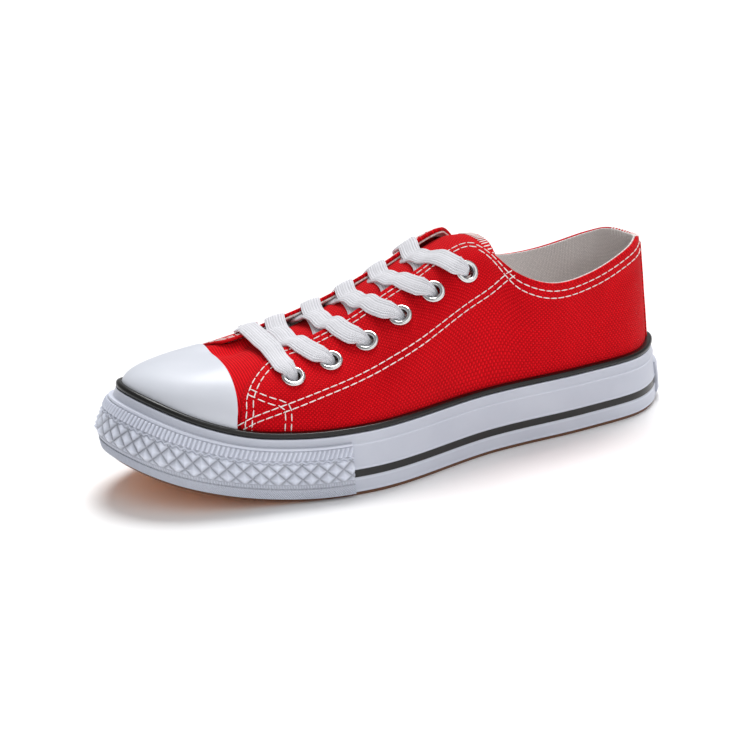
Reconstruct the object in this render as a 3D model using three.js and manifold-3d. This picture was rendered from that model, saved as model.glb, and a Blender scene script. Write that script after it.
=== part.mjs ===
// A low canvas lace-up shoe for the left foot, standing unbent on its sole.
// X runs from heel to toe, Y points to the outer side of the foot and Z points up, in millimetres.
// The upper is a closed wall spanned by upright ribs: each rib starts at the sole's outline and
// ends at the collar, the throat or the foot of the throat, as the table UPPER_RIBS says.
import * as THREE from 'three';
import { mergeVertices } from 'three/addons/utils/BufferGeometryUtils.js';
import Module from 'manifold-3d';

const wasm = await Module();
wasm.setup();
const { Manifold, Mesh: SolidMesh } = wasm;

// ---- Driving dimensions --------------------------------------------------------------------
const HALF_LENGTH = 137.5;
const CLEARANCE = 0.3;
const TOE_START = 76;
const TOE_LEAN = 7.5;
const TOE_RISE = 4.5;
const TOE_UNDERCUT = 2;
const BULGE_HEIGHT = 10;
const SPRING_START = 47;
const TOE_SPRING = 21;
const OUTSOLE_EDGE = 1.5;
const OUTSOLE_INSET = 0.9;
const LUG_DEPTH = 1.1;
const LUG_RIM = 6;
const LUG_WIDTH = 5;
const WALL_BASE = 1.8;
const WALL_TOP = 27.0;
const WALL_INNER_INSET = 4.8;
const BEAD_TOP = 30.4;
const CORE_INSET = 5.3;
const CORE_BASE = 4.8;
const CORE_TOP = 9.7;
const UPPER_BASE = 10.0;
const UPPER_INSET = 5.5;
const UPPER_WALL = 2.0;
const RIM = 30.0;
const INSOLE_INSET = 8.1;
const INSOLE_BASE = 10.1;
const INSOLE_TOP = 12.6;
const TONGUE_THICKNESS = 1.8;
const EYELET_LIFT = 0.5;
const CAP_GAP = 0.5;
const CAP_WALL = 1.5;
const BUMPER_PROUD = 1.4;
const RING_STEPS = 84;
const BUMPER_STEPS = { first: 26, last: 61 };
const LABEL_STEPS = { first: -4, last: 4 };
const EYELET_RADIUS = 5.2;
const HOLE_RADIUS = 3.7;
const LACE_WIDTH = 8.6;
const LACE_THICKNESS = 1.4;

// The sole's outline in plan, from the heel along the outer side to the toe and back.
const OUTLINE = [
  { x: -135.8, y: -1 },
  { x: -128.3, y: 14.5 },
  { x: -113, y: 27 },
  { x: -80, y: 33 },
  { x: -30, y: 36.5 },
  { x: 30, y: 50 },
  { x: 74, y: 43 },
  { x: 113, y: 29.5 },
  { x: 129, y: 12 },
  { x: 134.2, y: -5 },
  { x: 130, y: -20 },
  { x: 116, y: -32 },
  { x: 60, y: -47 },
  { x: 0, y: -39 },
  { x: -55, y: -32 },
  { x: -112, y: -29 },
  { x: -128.5, y: -16 },
];

// Cross sections of the bands round the sole: inset from the outline and height.
const WALL_PROFILE = [
  { inset: 0, z: WALL_BASE },
  { inset: 0.3, z: 10 },
  { inset: 1.2, z: 20 },
  { inset: 2.3, z: WALL_TOP },
  { inset: WALL_INNER_INSET, z: WALL_TOP },
  { inset: WALL_INNER_INSET, z: BULGE_HEIGHT },
  { inset: WALL_INNER_INSET, z: WALL_BASE },
];
const BEAD_PROFILE = [
  { inset: 1.9, z: WALL_TOP + CLEARANCE },
  { inset: 1.6, z: 28.9 },
  { inset: 2.6, z: 30.2 },
  { inset: WALL_INNER_INSET, z: BEAD_TOP },
  { inset: WALL_INNER_INSET, z: WALL_TOP + CLEARANCE },
];
const BUMPER_PROFILE = [
  { inset: -CLEARANCE, z: WALL_BASE },
  { inset: 0, z: BULGE_HEIGHT },
  { inset: 0.9, z: 20 },
  { inset: 1.4, z: 23.6 },
  { inset: 0.5, z: 23.4 },
  { inset: 0.9 - BUMPER_PROUD, z: 20 },
  { inset: -BUMPER_PROUD, z: BULGE_HEIGHT },
  { inset: -CLEARANCE - BUMPER_PROUD, z: WALL_BASE },
];
const LABEL_PROFILE = [
  { inset: -CLEARANCE, z: 3.4 },
  { inset: -1.4, z: 3.6 },
  { inset: -0.6, z: 18.2 },
  { inset: 0.7, z: 18.4 },
  { inset: 0, z: 10 },
];
// Stretches of the tread with grooves across them; the flat spots lie between the stretches.
const LUG_FIELDS = [
  { from: -122, to: -100, count: 3 },
  { from: -72, to: -61, count: 1 },
  { from: -2, to: 12, count: 2 },
  { from: 42, to: 112, count: 9 },
];
// The toe cap keeps what lies in front of this edge, seen from the side.
const CAP_EDGE = [
  { x: 84.3, z: 90 },
  { x: 84.3, z: 54 },
  { x: 86, z: 45 },
  { x: 88.8, z: 28 },
  { x: 160, z: 28 },
  { x: 160, z: 90 },
];

// Each row is one rib of the upper. at: its place along OUTLINE, in rows of that table. x, y, z: its
// top end. lean and rise set how the rib leaves the rim, reach and level how it arrives at the top,
// as shares of the run and the height. ribs: how many ribs are spread from this row to the next.
const UPPER_RIBS = [
  { at: 0.0, x: -125.4, y: -0.5, z: 82.0, lean: 0.3, rise: 0.3, reach: 0.7, level: 0.75, ribs: 2 },
  { at: 1.0, x: -120.0, y: 11.5, z: 81.2, lean: 0.1, rise: 0.3, reach: 0.6, level: 0.75, ribs: 2 },
  { at: 2.0, x: -109.0, y: 20, z: 77.3, lean: 0.0, rise: 0.35, reach: 0.5, level: 0.75, ribs: 2 },
  { at: 2.9, x: -86.0, y: 26.5, z: 71.3, lean: 0.0, rise: 0.4, reach: 0.4, level: 0.75, ribs: 2 },
  { at: 3.35, x: -66.0, y: 29.5, z: 70.6, lean: 0.0, rise: 0.4, reach: 0.4, level: 0.75, ribs: 2 },
  { at: 3.62, x: -50.0, y: 28.0, z: 77.0, lean: 0.0, rise: 0.5, reach: 0.3, level: 0.85, ribs: 2 },
  { at: 3.85, x: -37.5, y: 19.5, z: 89.2, lean: 0.0, rise: 0.7, reach: 0.15, level: 0.95, ribs: 2 },
  { at: 4.0, x: -31.5, y: 14.2, z: 92.2, lean: 0.0, rise: 0.75, reach: 0.1, level: 0.95, ribs: 1 },
  { at: 4.15, x: -22.0, y: 13.6, z: 90.0, lean: 0.0, rise: 0.75, reach: 0.1, level: 0.95, ribs: 2 },
  { at: 4.45, x: -5.0, y: 13.5, z: 81.7, lean: 0.0, rise: 0.65, reach: 0.2, level: 0.85, ribs: 2 },
  { at: 4.7, x: 10.0, y: 13.5, z: 75.3, lean: 0.0, rise: 0.6, reach: 0.25, level: 0.72, ribs: 2 },
  { at: 4.93, x: 24.0, y: 13.5, z: 68.3, lean: 0.0, rise: 0.5, reach: 0.35, level: 0.68, ribs: 2 },
  { at: 5.3, x: 41.0, y: 13.5, z: 61.9, lean: 0.0, rise: 0.48, reach: 0.38, level: 0.66, ribs: 2 },
  { at: 5.75, x: 55.5, y: 13.2, z: 58.0, lean: 0.0, rise: 0.53, reach: 0.38, level: 0.74, ribs: 2 },
  { at: 6.2, x: 59.5, y: 11, z: 58.2, lean: 0.0, rise: 0.6, reach: 0.4, level: 0.8, ribs: 2 },
  { at: 7.0, x: 61.0, y: 7, z: 57.7, lean: 0.03, rise: 0.7, reach: 0.45, level: 0.7, ribs: 2 },
  { at: 8.0, x: 61.5, y: 4, z: 57.4, lean: 0.06, rise: 0.8, reach: 0.5, level: 0.55, ribs: 2 },
  { at: 9.0, x: 61.8, y: 0, z: 57.5, lean: 0.08, rise: 0.85, reach: 0.5, level: 0.5, ribs: 2 },
  { at: 10.0, x: 61.5, y: -4, z: 57.9, lean: 0.06, rise: 0.8, reach: 0.5, level: 0.55, ribs: 2 },
  { at: 11.0, x: 61.0, y: -8, z: 58.9, lean: 0.03, rise: 0.7, reach: 0.45, level: 0.7, ribs: 3 },
  { at: 11.7, x: 59.5, y: -11.5, z: 60.8, lean: 0.0, rise: 0.6, reach: 0.42, level: 0.78, ribs: 2 },
  { at: 12.1, x: 54.0, y: -13.3, z: 62.0, lean: 0.0, rise: 0.55, reach: 0.4, level: 0.72, ribs: 2 },
  { at: 12.35, x: 41.0, y: -13.5, z: 65.0, lean: 0.0, rise: 0.52, reach: 0.38, level: 0.7, ribs: 2 },
  { at: 12.6, x: 24.0, y: -13.5, z: 69.8, lean: 0.0, rise: 0.55, reach: 0.33, level: 0.72, ribs: 2 },
  { at: 12.83, x: 10.0, y: -13.5, z: 75.2, lean: 0.0, rise: 0.6, reach: 0.25, level: 0.75, ribs: 2 },
  { at: 13.1, x: -5.0, y: -13.5, z: 81.2, lean: 0.0, rise: 0.65, reach: 0.2, level: 0.85, ribs: 2 },
  { at: 13.4, x: -22.0, y: -13.6, z: 89.2, lean: 0.0, rise: 0.75, reach: 0.1, level: 0.95, ribs: 1 },
  { at: 13.57, x: -31.5, y: -14.2, z: 92.0, lean: 0.0, rise: 0.75, reach: 0.1, level: 0.95, ribs: 2 },
  { at: 13.7, x: -37.5, y: -19.5, z: 89.2, lean: 0.0, rise: 0.7, reach: 0.15, level: 0.95, ribs: 2 },
  { at: 13.93, x: -50.0, y: -28.0, z: 77.0, lean: 0.0, rise: 0.5, reach: 0.3, level: 0.85, ribs: 2 },
  { at: 14.2, x: -66.0, y: -29.5, z: 70.6, lean: 0.0, rise: 0.4, reach: 0.4, level: 0.75, ribs: 2 },
  { at: 14.55, x: -86.0, y: -26.5, z: 71.3, lean: 0.0, rise: 0.4, reach: 0.4, level: 0.75, ribs: 2 },
  { at: 15.0, x: -109.0, y: -20, z: 77.3, lean: 0.0, rise: 0.35, reach: 0.5, level: 0.75, ribs: 2 },
  { at: 16.0, x: -120.0, y: -12, z: 81.2, lean: 0.1, rise: 0.3, reach: 0.6, level: 0.75, ribs: 2 },
];
// Heights up each rib: -1 is the foot of the wall, 0 the rim of the sole and 1 the top edge.
const RIB_HEIGHTS = [-1, -0.3, 0, 0.14, 0.28, 0.42, 0.56, 0.7, 0.84, 1];

// The tongue's top surface along its middle, and its half width there.
const TONGUE_ROWS = [
  { x: -44, z: 90.8, half: 22 },
  { x: -32, z: 88.6, half: 22 },
  { x: -20, z: 83.9, half: 22 },
  { x: -5, z: 77.2, half: 22 },
  { x: 10, z: 70.9, half: 22 },
  { x: 24, z: 64.4, half: 21.5 },
  { x: 41, z: 58.0, half: 21 },
  { x: 56, z: 54.2, half: 20 },
  { x: 66, z: 53.4, half: 19 },
  { x: 74, z: 53.0, half: 18 },
];
// How far the tongue falls away from its middle, by share of its half width.
const TONGUE_FALL = [
  { share: 0, fall: 0 },
  { share: 0.3, fall: 0.4 },
  { share: 0.6, fall: 2.3 },
  { share: 0.8, fall: 5.3 },
  { share: 1, fall: 9.4 },
];
// The eyelets' places in plan, the same on both sides of the throat.
const EYELETS = [
  { x: 59.0, y: 29.4 },
  { x: 41.2, y: 28.2 },
  { x: 24.2, y: 28.0 },
  { x: 8.0, y: 27.8 },
  { x: -8.0, y: 27.4 },
  { x: -24.2, y: 27.0 },
];

const OUTLINE_END = Math.max(...OUTLINE.map((row) => row.x));

// ---- Small helpers -------------------------------------------------------------------------
const mod = (value, size) => ((value % size) + size) % size;
const mix = (a, b, share) => a + (b - a) * share;
const spring = (x) => TOE_SPRING * (Math.max(0, x - SPRING_START) / (HALF_LENGTH - SPRING_START)) ** 2;

function steps(count) {
  return Array.from({ length: count }, (_, i) => i);
}

function straight(rows, key, value, x) {
  const last = rows.length - 2;
  const after = rows.findIndex((row) => row[key] > x);
  const i = after < 0 ? last : Math.min(Math.max(after - 1, 0), last);
  const share = (x - rows[i][key]) / (rows[i + 1][key] - rows[i][key]);
  return mix(rows[i][value], rows[i + 1][value], share);
}

const outlineCurve = new THREE.CatmullRomCurve3(
  OUTLINE.map((row) => new THREE.Vector3(row.x, row.y, 0)),
  true,
  'centripetal',
);

function outlineFrame(at) {
  const t = mod(at, OUTLINE.length) / OUTLINE.length;
  const tangent = outlineCurve.getTangent(t);
  return { point: outlineCurve.getPoint(t), outward: new THREE.Vector3(-tangent.y, tangent.x, 0) };
}

// Round the toe the whole wall leans back and grows taller above its bulge, and tucks in below it.
function toeBend(x, z) {
  const share = THREE.MathUtils.smoothstep(x, TOE_START, OUTLINE_END);
  const above = Math.max(0, Math.min(z, RIM) - BULGE_HEIGHT) / (RIM - BULGE_HEIGHT);
  const below = Math.max(0, BULGE_HEIGHT - z) / BULGE_HEIGHT;
  return { lean: share * (TOE_LEAN * above + TOE_UNDERCUT * below), rise: share * TOE_RISE * above };
}

function onOutline(at, inset, z) {
  const { point, outward } = outlineFrame(at);
  const { lean, rise } = toeBend(point.x, z);
  point.addScaledVector(outward, -inset - lean);
  point.z = z + rise + spring(point.x);
  return point;
}

function flipToOutward(position, index) {
  const [a, b, c] = [new THREE.Vector3(), new THREE.Vector3(), new THREE.Vector3()];
  let volume = 0;
  for (let i = 0; i < index.length; i += 3) {
    a.fromArray(position, 3 * index[i]);
    b.fromArray(position, 3 * index[i + 1]);
    c.fromArray(position, 3 * index[i + 2]);
    volume += a.dot(b.cross(c));
  }
  return volume > 0 ? index : index.reverse();
}

// Faces that fill one ring, given its points in a plane, wound the way the ring runs.
function fill(section) {
  const faces = THREE.ShapeUtils.triangulateShape(section, []);
  const follows = ([a, b, c]) => [[a, b], [b, c], [c, a]].some(([p, q]) => q === (p + 1) % section.length);
  return faces.some(follows) ? faces : faces.map(([a, b, c]) => [c, b, a]);
}

// A closed solid through rings of equally many points. Without a section the rings close on
// themselves as a loop; with one, it is the flat shape that caps the first and last ring.
function skin(rings, section) {
  const size = rings[0].length;
  const position = rings.flat().flatMap((point) => point.toArray());
  const index = [];
  const spans = section ? rings.length - 1 : rings.length;
  for (let r = 0; r < spans; r += 1) {
    const here = r * size;
    const next = ((r + 1) % rings.length) * size;
    for (let i = 0; i < size; i += 1) {
      const j = (i + 1) % size;
      index.push(here + i, next + i, next + j, here + i, next + j, here + j);
    }
  }
  const end = (rings.length - 1) * size;
  for (const [a, b, c] of section ? fill(section) : []) {
    index.push(a, b, c, end + c, end + b, end + a);
  }
  const geometry = new THREE.BufferGeometry();
  geometry.setAttribute('position', new THREE.Float32BufferAttribute(position, 3));
  geometry.setIndex(flipToOutward(position, index));
  return geometry;
}

function toSolid(geometry) {
  const bare = geometry.clone();
  bare.deleteAttribute('normal');
  bare.deleteAttribute('uv');
  const merged = mergeVertices(bare, 1e-4);
  return new Manifold(new SolidMesh({
    numProp: 3,
    vertProperties: Float32Array.from(merged.attributes.position.array),
    triVerts: Uint32Array.from(merged.index.array),
  }));
}

function toGeometry(solid) {
  const mesh = solid.getMesh();
  const geometry = new THREE.BufferGeometry();
  geometry.setAttribute('position', new THREE.BufferAttribute(mesh.vertProperties, mesh.numProp));
  geometry.setIndex(Array.from(mesh.triVerts));
  return geometry;
}

// ---- Sole ----------------------------------------------------------------------------------
// A band that follows the outline with one profile of inset and height, all round unless it is
// given the first and last of the ring steps that it covers.
function band(profile, part) {
  const places = part
    ? steps(part.last - part.first + 1).map((i) => part.first + i)
    : steps(RING_STEPS);
  const rings = places.map((place) => (
    profile.map((row) => onOutline((OUTLINE.length * place) / RING_STEPS, row.inset, row.z))
  ));
  return skin(rings, part && profile.map((row) => new THREE.Vector2(row.inset, row.z)));
}

// The outline, drawn in by an inset, as its two y values at each of many x stations.
function stations(inset, height, count) {
  const loop = steps(680).map((i) => onOutline((OUTLINE.length * i) / 680, inset, height));
  const low = Math.min(...loop.map((point) => point.x));
  const high = Math.max(...loop.map((point) => point.x));
  return steps(count).map((i) => {
    const angle = mix(0.06, Math.PI - 0.06, i / (count - 1));
    const x = mix(low, high, (1 - Math.cos(angle)) / 2);
    const ys = [];
    loop.forEach((a, k) => {
      const b = loop[(k + 1) % loop.length];
      if ((a.x - x) * (b.x - x) < 0) {
        ys.push(mix(a.y, b.y, (x - a.x) / (b.x - a.x)));
      }
    });
    return { x, outer: Math.max(...ys), inner: Math.min(...ys) };
  });
}

// A layer of the sole between two heights, bent up with the toe spring.
function layer(inset, bottom, top, count = 34) {
  const upper = stations(inset, top, count);
  const lower = stations(inset, bottom, count);
  const rings = upper.map((high, i) => [
    new THREE.Vector3(high.x, high.outer, top + spring(high.x)),
    new THREE.Vector3(high.x, high.inner, top + spring(high.x)),
    new THREE.Vector3(lower[i].x, lower[i].inner, bottom + spring(lower[i].x)),
    new THREE.Vector3(lower[i].x, lower[i].outer, bottom + spring(lower[i].x)),
  ]);
  return skin(rings, rings[0].map((point) => new THREE.Vector2(point.y, point.z)));
}

// A groove across the tread, between two x values and inside the tread's rim.
function groove(from, to, rows) {
  const rim = LUG_RIM + OUTSOLE_INSET;
  const ends = [from, to].map((x) => {
    const near = rows.reduce((best, row) => (Math.abs(row.x - x) < Math.abs(best.x - x) ? row : best));
    return { x, outer: near.outer - rim, inner: near.inner + rim };
  });
  const rings = ends.map(({ x, outer, inner }) => [
    new THREE.Vector3(x, outer, spring(x) + LUG_DEPTH),
    new THREE.Vector3(x, inner, spring(x) + LUG_DEPTH),
    new THREE.Vector3(x, inner, spring(x) - 1),
    new THREE.Vector3(x, outer, spring(x) - 1),
  ]);
  return toSolid(skin(rings, rings[0].map((point) => new THREE.Vector2(point.y, point.z))));
}

function outsoleShape() {
  const rows = stations(0, 0, 160);
  let sole = toSolid(layer(OUTSOLE_INSET, 0, OUTSOLE_EDGE));
  sole = sole.add(toSolid(layer(CORE_INSET, 0.7, CORE_BASE - CLEARANCE, 30)));
  for (const { from, to, count } of LUG_FIELDS) {
    const pitch = (to - from) / count;
    for (const i of steps(count)) {
      const start = from + i * pitch;
      sole = sole.subtract(groove(start, start + pitch - LUG_WIDTH, rows));
    }
  }
  return toGeometry(sole);
}

// ---- Upper ---------------------------------------------------------------------------------
const RIB_KEYS = ['x', 'y', 'z', 'lean', 'rise', 'reach', 'level'];

// The table's row at any place along the outline, blended smoothly through its rows.
function ribAt(at) {
  const place = mod(at, OUTLINE.length);
  const count = UPPER_RIBS.length;
  const row = (i) => ({
    ...UPPER_RIBS[mod(i, count)],
    at: UPPER_RIBS[mod(i, count)].at + OUTLINE.length * Math.floor(i / count),
  });
  const after = UPPER_RIBS.findIndex((entry) => entry.at > place);
  const i = (after < 0 ? count : after) - 1;
  const [before, from, to, beyond] = [row(i - 1), row(i), row(i + 1), row(i + 2)];
  const span = to.at - from.at;
  const t = (place - from.at) / span;
  const blended = {};
  for (const key of RIB_KEYS) {
    const leave = (span * (to[key] - before[key])) / (to.at - before.at);
    const arrive = (span * (beyond[key] - from[key])) / (beyond.at - from.at);
    blended[key] = (2 * t ** 3 - 3 * t ** 2 + 1) * from[key] + (t ** 3 - 2 * t ** 2 + t) * leave
      + (3 * t ** 2 - 2 * t ** 3) * to[key] + (t ** 3 - t ** 2) * arrive;
  }
  return blended;
}

// A point on the upper's outer face. height: -1 at the foot, 0 at the rim and 1 at the top edge.
function upperPoint(at, height) {
  const rib = ribAt(at);
  if (height < 0) {
    return onOutline(at, UPPER_INSET, mix(RIM, UPPER_BASE, -height));
  }
  const rim = onOutline(at, UPPER_INSET, RIM);
  const top = new THREE.Vector3(rib.x, rib.y, rib.z);
  const run = top.clone().sub(rim);
  const leave = rim.clone().add(new THREE.Vector3(run.x * rib.lean, run.y * rib.lean, run.z * rib.rise));
  const arrive = rim.clone().add(new THREE.Vector3(run.x * rib.reach, run.y * rib.reach, run.z * rib.level));
  return new THREE.CubicBezierCurve3(rim, leave, arrive, top).getPoint(height);
}

function upperNormal(at, height) {
  const nudge = 0.01;
  const up = upperPoint(at, Math.min(height + nudge, 1)).sub(upperPoint(at, Math.min(height, 1 - nudge)));
  const along = upperPoint(at + nudge, height).sub(upperPoint(at - nudge, height));
  return up.cross(along).normalize();
}

function offUpper(at, height, distance) {
  return upperPoint(at, height).addScaledVector(upperNormal(at, height), distance);
}

function ribPlaces() {
  return UPPER_RIBS.flatMap((row, i) => {
    const next = UPPER_RIBS[i + 1] ? UPPER_RIBS[i + 1].at : OUTLINE.length;
    return steps(row.ribs).map((k) => mix(row.at, next, k / row.ribs));
  });
}

// The place on the upper's outer face that lies over a point in plan, on one side of the throat.
function placeOver(x, y) {
  const outer = 4.9 - (20 - x) / (x < 20 ? 60 : 48);
  const inner = 12.6 + (20 - x) / 55;
  let guess = { at: y > 0 ? outer : inner, height: 0.7 };
  for (let round = 0; round < 30; round += 1) {
    const nudge = 0.002;
    const here = upperPoint(guess.at, guess.height);
    const byAt = upperPoint(guess.at + nudge, guess.height).sub(here).divideScalar(nudge);
    const byHeight = upperPoint(guess.at, guess.height + nudge).sub(here).divideScalar(nudge);
    const det = byAt.x * byHeight.y - byAt.y * byHeight.x;
    const [dx, dy] = [x - here.x, y - here.y];
    guess = {
      at: guess.at + 0.7 * (dx * byHeight.y - dy * byHeight.x) / det,
      height: Math.min(0.99, guess.height + 0.7 * (byAt.x * dy - byAt.y * dx) / det),
    };
  }
  return guess;
}

function upperShape() {
  const rings = ribPlaces().map((at) => [
    ...RIB_HEIGHTS.map((height) => upperPoint(at, height)),
    ...RIB_HEIGHTS.toReversed().map((height) => offUpper(at, height, -UPPER_WALL)),
  ]);
  let upper = toSolid(skin(rings));
  for (const { point, turn } of eyeletPlaces) {
    const hole = new THREE.CylinderGeometry(HOLE_RADIUS, HOLE_RADIUS, 12, 8).rotateX(Math.PI / 2);
    hole.applyQuaternion(turn).translate(point.x, point.y, point.z);
    upper = upper.subtract(toSolid(hole));
  }
  return toGeometry(upper);
}

// The toe cap: a thicker shell over the toe end of the upper, cut off behind a curved edge.
function toeCapShape() {
  const heights = RIB_HEIGHTS.filter((height) => height > 0.1 && height < 0.9);
  const places = ribPlaces().filter((at) => at > 5.8 && at < 12.2);
  const outer = (at) => [0.05, ...heights].map((height) => offUpper(at, height, CAP_GAP + CAP_WALL));
  const inner = (at) => [0.05, ...heights].map((height) => offUpper(at, height, CAP_GAP)).reverse();
  const rings = places.map((at) => [...outer(at), ...inner(at)]);
  const section = [...steps(heights.length + 1).map((i) => new THREE.Vector2(i, 1)),
    ...steps(heights.length + 1).reverse().map((i) => new THREE.Vector2(i, 0))];
  const front = new THREE.Shape(CAP_EDGE.map((row) => new THREE.Vector2(row.x, row.z)));
  const cutter = new THREE.ExtrudeGeometry(front, { depth: 140, bevelEnabled: false });
  cutter.rotateX(Math.PI / 2).translate(0, 70, 0);
  return toGeometry(toSolid(skin(rings, section)).intersect(toSolid(cutter)));
}

// ---- Tongue --------------------------------------------------------------------------------
function tongueShape() {
  const shares = TONGUE_FALL.map((row) => row.share);
  const across = [...shares.slice(1).reverse().map((share) => -share), ...shares];
  const rings = TONGUE_ROWS.map(({ x, z, half }) => {
    const line = across.map((share) => new THREE.Vector3(
      x,
      share * half,
      z - straight(TONGUE_FALL, 'share', 'fall', Math.abs(share)),
    ));
    const under = line.map((point) => new THREE.Vector3(point.x, point.y, point.z - TONGUE_THICKNESS));
    return [...line, ...under.reverse()];
  });
  return skin(rings, rings[0].map((point) => new THREE.Vector2(point.y, point.z)));
}

// ---- Eyelets and laces ---------------------------------------------------------------------
// A metal ring with a barrel through the wall, turned about the hole's axis.
function eyeletShape() {
  const profile = [
    { r: 3.0, z: 0.2 },
    { r: EYELET_RADIUS, z: 0.4 },
    { r: 4.1, z: 1.3 },
  ];
  const points = [...profile, profile[0]].map((row) => new THREE.Vector2(row.r, row.z));
  const ring = new THREE.LatheGeometry(points, 11).rotateX(Math.PI / 2);
  ring.deleteAttribute('normal');
  ring.deleteAttribute('uv');
  const merged = mergeVertices(ring, 1e-4);
  merged.setIndex(flipToOutward(merged.attributes.position.array, Array.from(merged.index.array)));
  return merged;
}

// A flat ribbon through stops: each has a point, the way its broad face looks, and its width.
function ribbon(stops) {
  const rings = stops.map(({ point, up, width }, i) => {
    const before = stops[Math.max(i - 1, 0)].point;
    const after = stops[Math.min(i + 1, stops.length - 1)].point;
    const along = after.clone().sub(before).normalize();
    const across = along.clone().cross(up).normalize().multiplyScalar(width / 2);
    const thick = across.clone().cross(along).normalize().multiplyScalar(LACE_THICKNESS / 2);
    return [[1, 1], [-1, 1], [-1, -1], [1, -1]].map(([a, t]) => (
      point.clone().addScaledVector(across, a).addScaledVector(thick, t)
    ));
  });
  return toSolid(skin(rings, [[1, 1], [-1, 1], [-1, -1], [1, -1]].map((c) => new THREE.Vector2(...c))));
}

// The height of the throat's edge over an x value, on one side of the shoe.
function throatEdge(x, side) {
  const rows = UPPER_RIBS.filter((row) => row.y * side > 0 && row.x > -32 && row.x < 60 && row.z < 93);
  const sorted = rows.filter((row) => Math.abs(row.y) < 15).sort((a, b) => a.x - b.x);
  return straight(sorted, 'x', 'z', x);
}

// The first stops of a lace: out of the hole, over the ring's lip and down onto the canvas.
function outOfEyelet(eyelet, toward) {
  const flat = toward.clone().projectOnPlane(eyelet.normal).normalize();
  const stop = (along, height, width) => ({
    point: eyelet.point.clone().addScaledVector(flat, along).addScaledVector(eyelet.normal, height),
    up: eyelet.normal,
    width,
  });
  return [stop(0.2, 0.3, 3.4), stop(1.6, 2.2, 5), stop(4.2, 3.05, 7.4), stop(6.6, 2.7, LACE_WIDTH)];
}

// A stop that lies on the canvas under a point in plan.
function onCanvas(plan) {
  const { at, height } = placeOver(plan.x, plan.y);
  return { point: offUpper(at, height, 1.5), up: upperNormal(at, height), width: LACE_WIDTH };
}

const UP = new THREE.Vector3(0, 0, 1);

// The way the throat's slope faces over an x value.
function throatUp(x, side) {
  const fall = throatEdge(x - 5, side) - throatEdge(x + 5, side);
  return new THREE.Vector3(fall, 0, 10).normalize();
}

// One strap from an eyelet over its own facing, across the tongue and under the other facing.
function strapStops(from, target, lift) {
  const side = Math.sign(from.point.y);
  const start = new THREE.Vector2(from.point.x, from.point.y);
  const end = new THREE.Vector2(target.point.x, target.point.y);
  const over = (share, height, width = LACE_WIDTH) => {
    const plan = start.clone().lerp(end, share);
    const up = throatUp(plan.x, share < 0.5 ? side : -side);
    return { point: new THREE.Vector3(plan.x, plan.y, height(plan.x)), up, width };
  };
  const own = (x) => throatEdge(x, side);
  const other = (x) => throatEdge(x, -side);
  const toward = target.point.clone().sub(from.point);
  return [
    ...outOfEyelet(from, toward),
    onCanvas(start.clone().lerp(end, 0.19)),
    over(0.26, (x) => own(x) + 1.4),
    over(0.37, (x) => own(x) + 0.3 + lift / 2),
    over(0.5, (x) => mix(own(x), other(x), 0.5) - 1.1 + lift),
    over(0.63, (x) => other(x) - 2.6 + lift / 2),
    over(0.7, (x) => other(x) - 3.5, 7.4),
    over(0.735, (x) => other(x) - 4.2, 5.6),
  ];
}

function crossingShape(row) {
  const [outer, inner] = [eyeletAt(row, 1), eyeletAt(row, -1)];
  const [nextOuter, nextInner] = [eyeletAt(row - 1, 1), eyeletAt(row - 1, -1)];
  const lift = LACE_THICKNESS / 2 - 0.05;
  const over = ribbon(strapStops(outer, nextInner, lift));
  const under = ribbon(strapStops(inner, nextOuter, -lift));
  return toGeometry(over.add(under));
}

function barShape() {
  const [outer, inner] = [eyeletAt(0, 1), eyeletAt(0, -1)];
  const across = inner.point.clone().sub(outer.point);
  const rise = (share, height) => {
    const plan = outer.point.clone().lerp(inner.point, share);
    return { point: plan.setZ(height), up: UP, width: LACE_WIDTH };
  };
  const stops = [
    ...outOfEyelet(outer, across),
    onCanvas(outer.point.clone().lerp(inner.point, 0.19)),
    rise(0.28, 60.4),
    rise(0.4, 61.6),
    rise(0.5, 62.2),
    rise(0.6, 62.8),
    rise(0.72, 63.2),
    onCanvas(outer.point.clone().lerp(inner.point, 0.81)),
    ...outOfEyelet(inner, across.negate()).reverse(),
  ];
  return toGeometry(ribbon(stops));
}

const eyeletPlaces = [1, -1].flatMap((side) => EYELETS.map(({ x, y }, row) => {
  const { at, height } = placeOver(x, side * y);
  const point = upperPoint(at, height);
  const normal = upperNormal(at, height);
  return { row, side, point, normal, turn: new THREE.Quaternion().setFromUnitVectors(UP, normal) };
}));

function eyeletAt(row, side) {
  return eyeletPlaces.find((place) => place.row === row && place.side === side);
}

// ---- Assembly ------------------------------------------------------------------------------
const finish = {
  gum: { color: 0x9a5a2c, roughness: 0.7, metalness: 0 },
  foam: { color: 0xd8d2c4, roughness: 0.9, metalness: 0 },
  whiteRubber: { color: 0xe9ecf2, roughness: 0.45, metalness: 0 },
  blackRubber: { color: 0x2c2d29, roughness: 0.4, metalness: 0 },
  canvas: { color: 0xd3101b, roughness: 0.95, metalness: 0 },
  lining: { color: 0xd9d6d4, roughness: 0.95, metalness: 0 },
  lace: { color: 0xf2f3f6, roughness: 0.9, metalness: 0 },
  nickel: { color: 0xb9bcc0, roughness: 0.25, metalness: 1 },
};

const group = new THREE.Group();

function put(name, geometry, look) {
  const mesh = new THREE.Mesh(geometry, new THREE.MeshStandardMaterial(look));
  mesh.name = name;
  group.add(mesh);
  return mesh;
}

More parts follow.
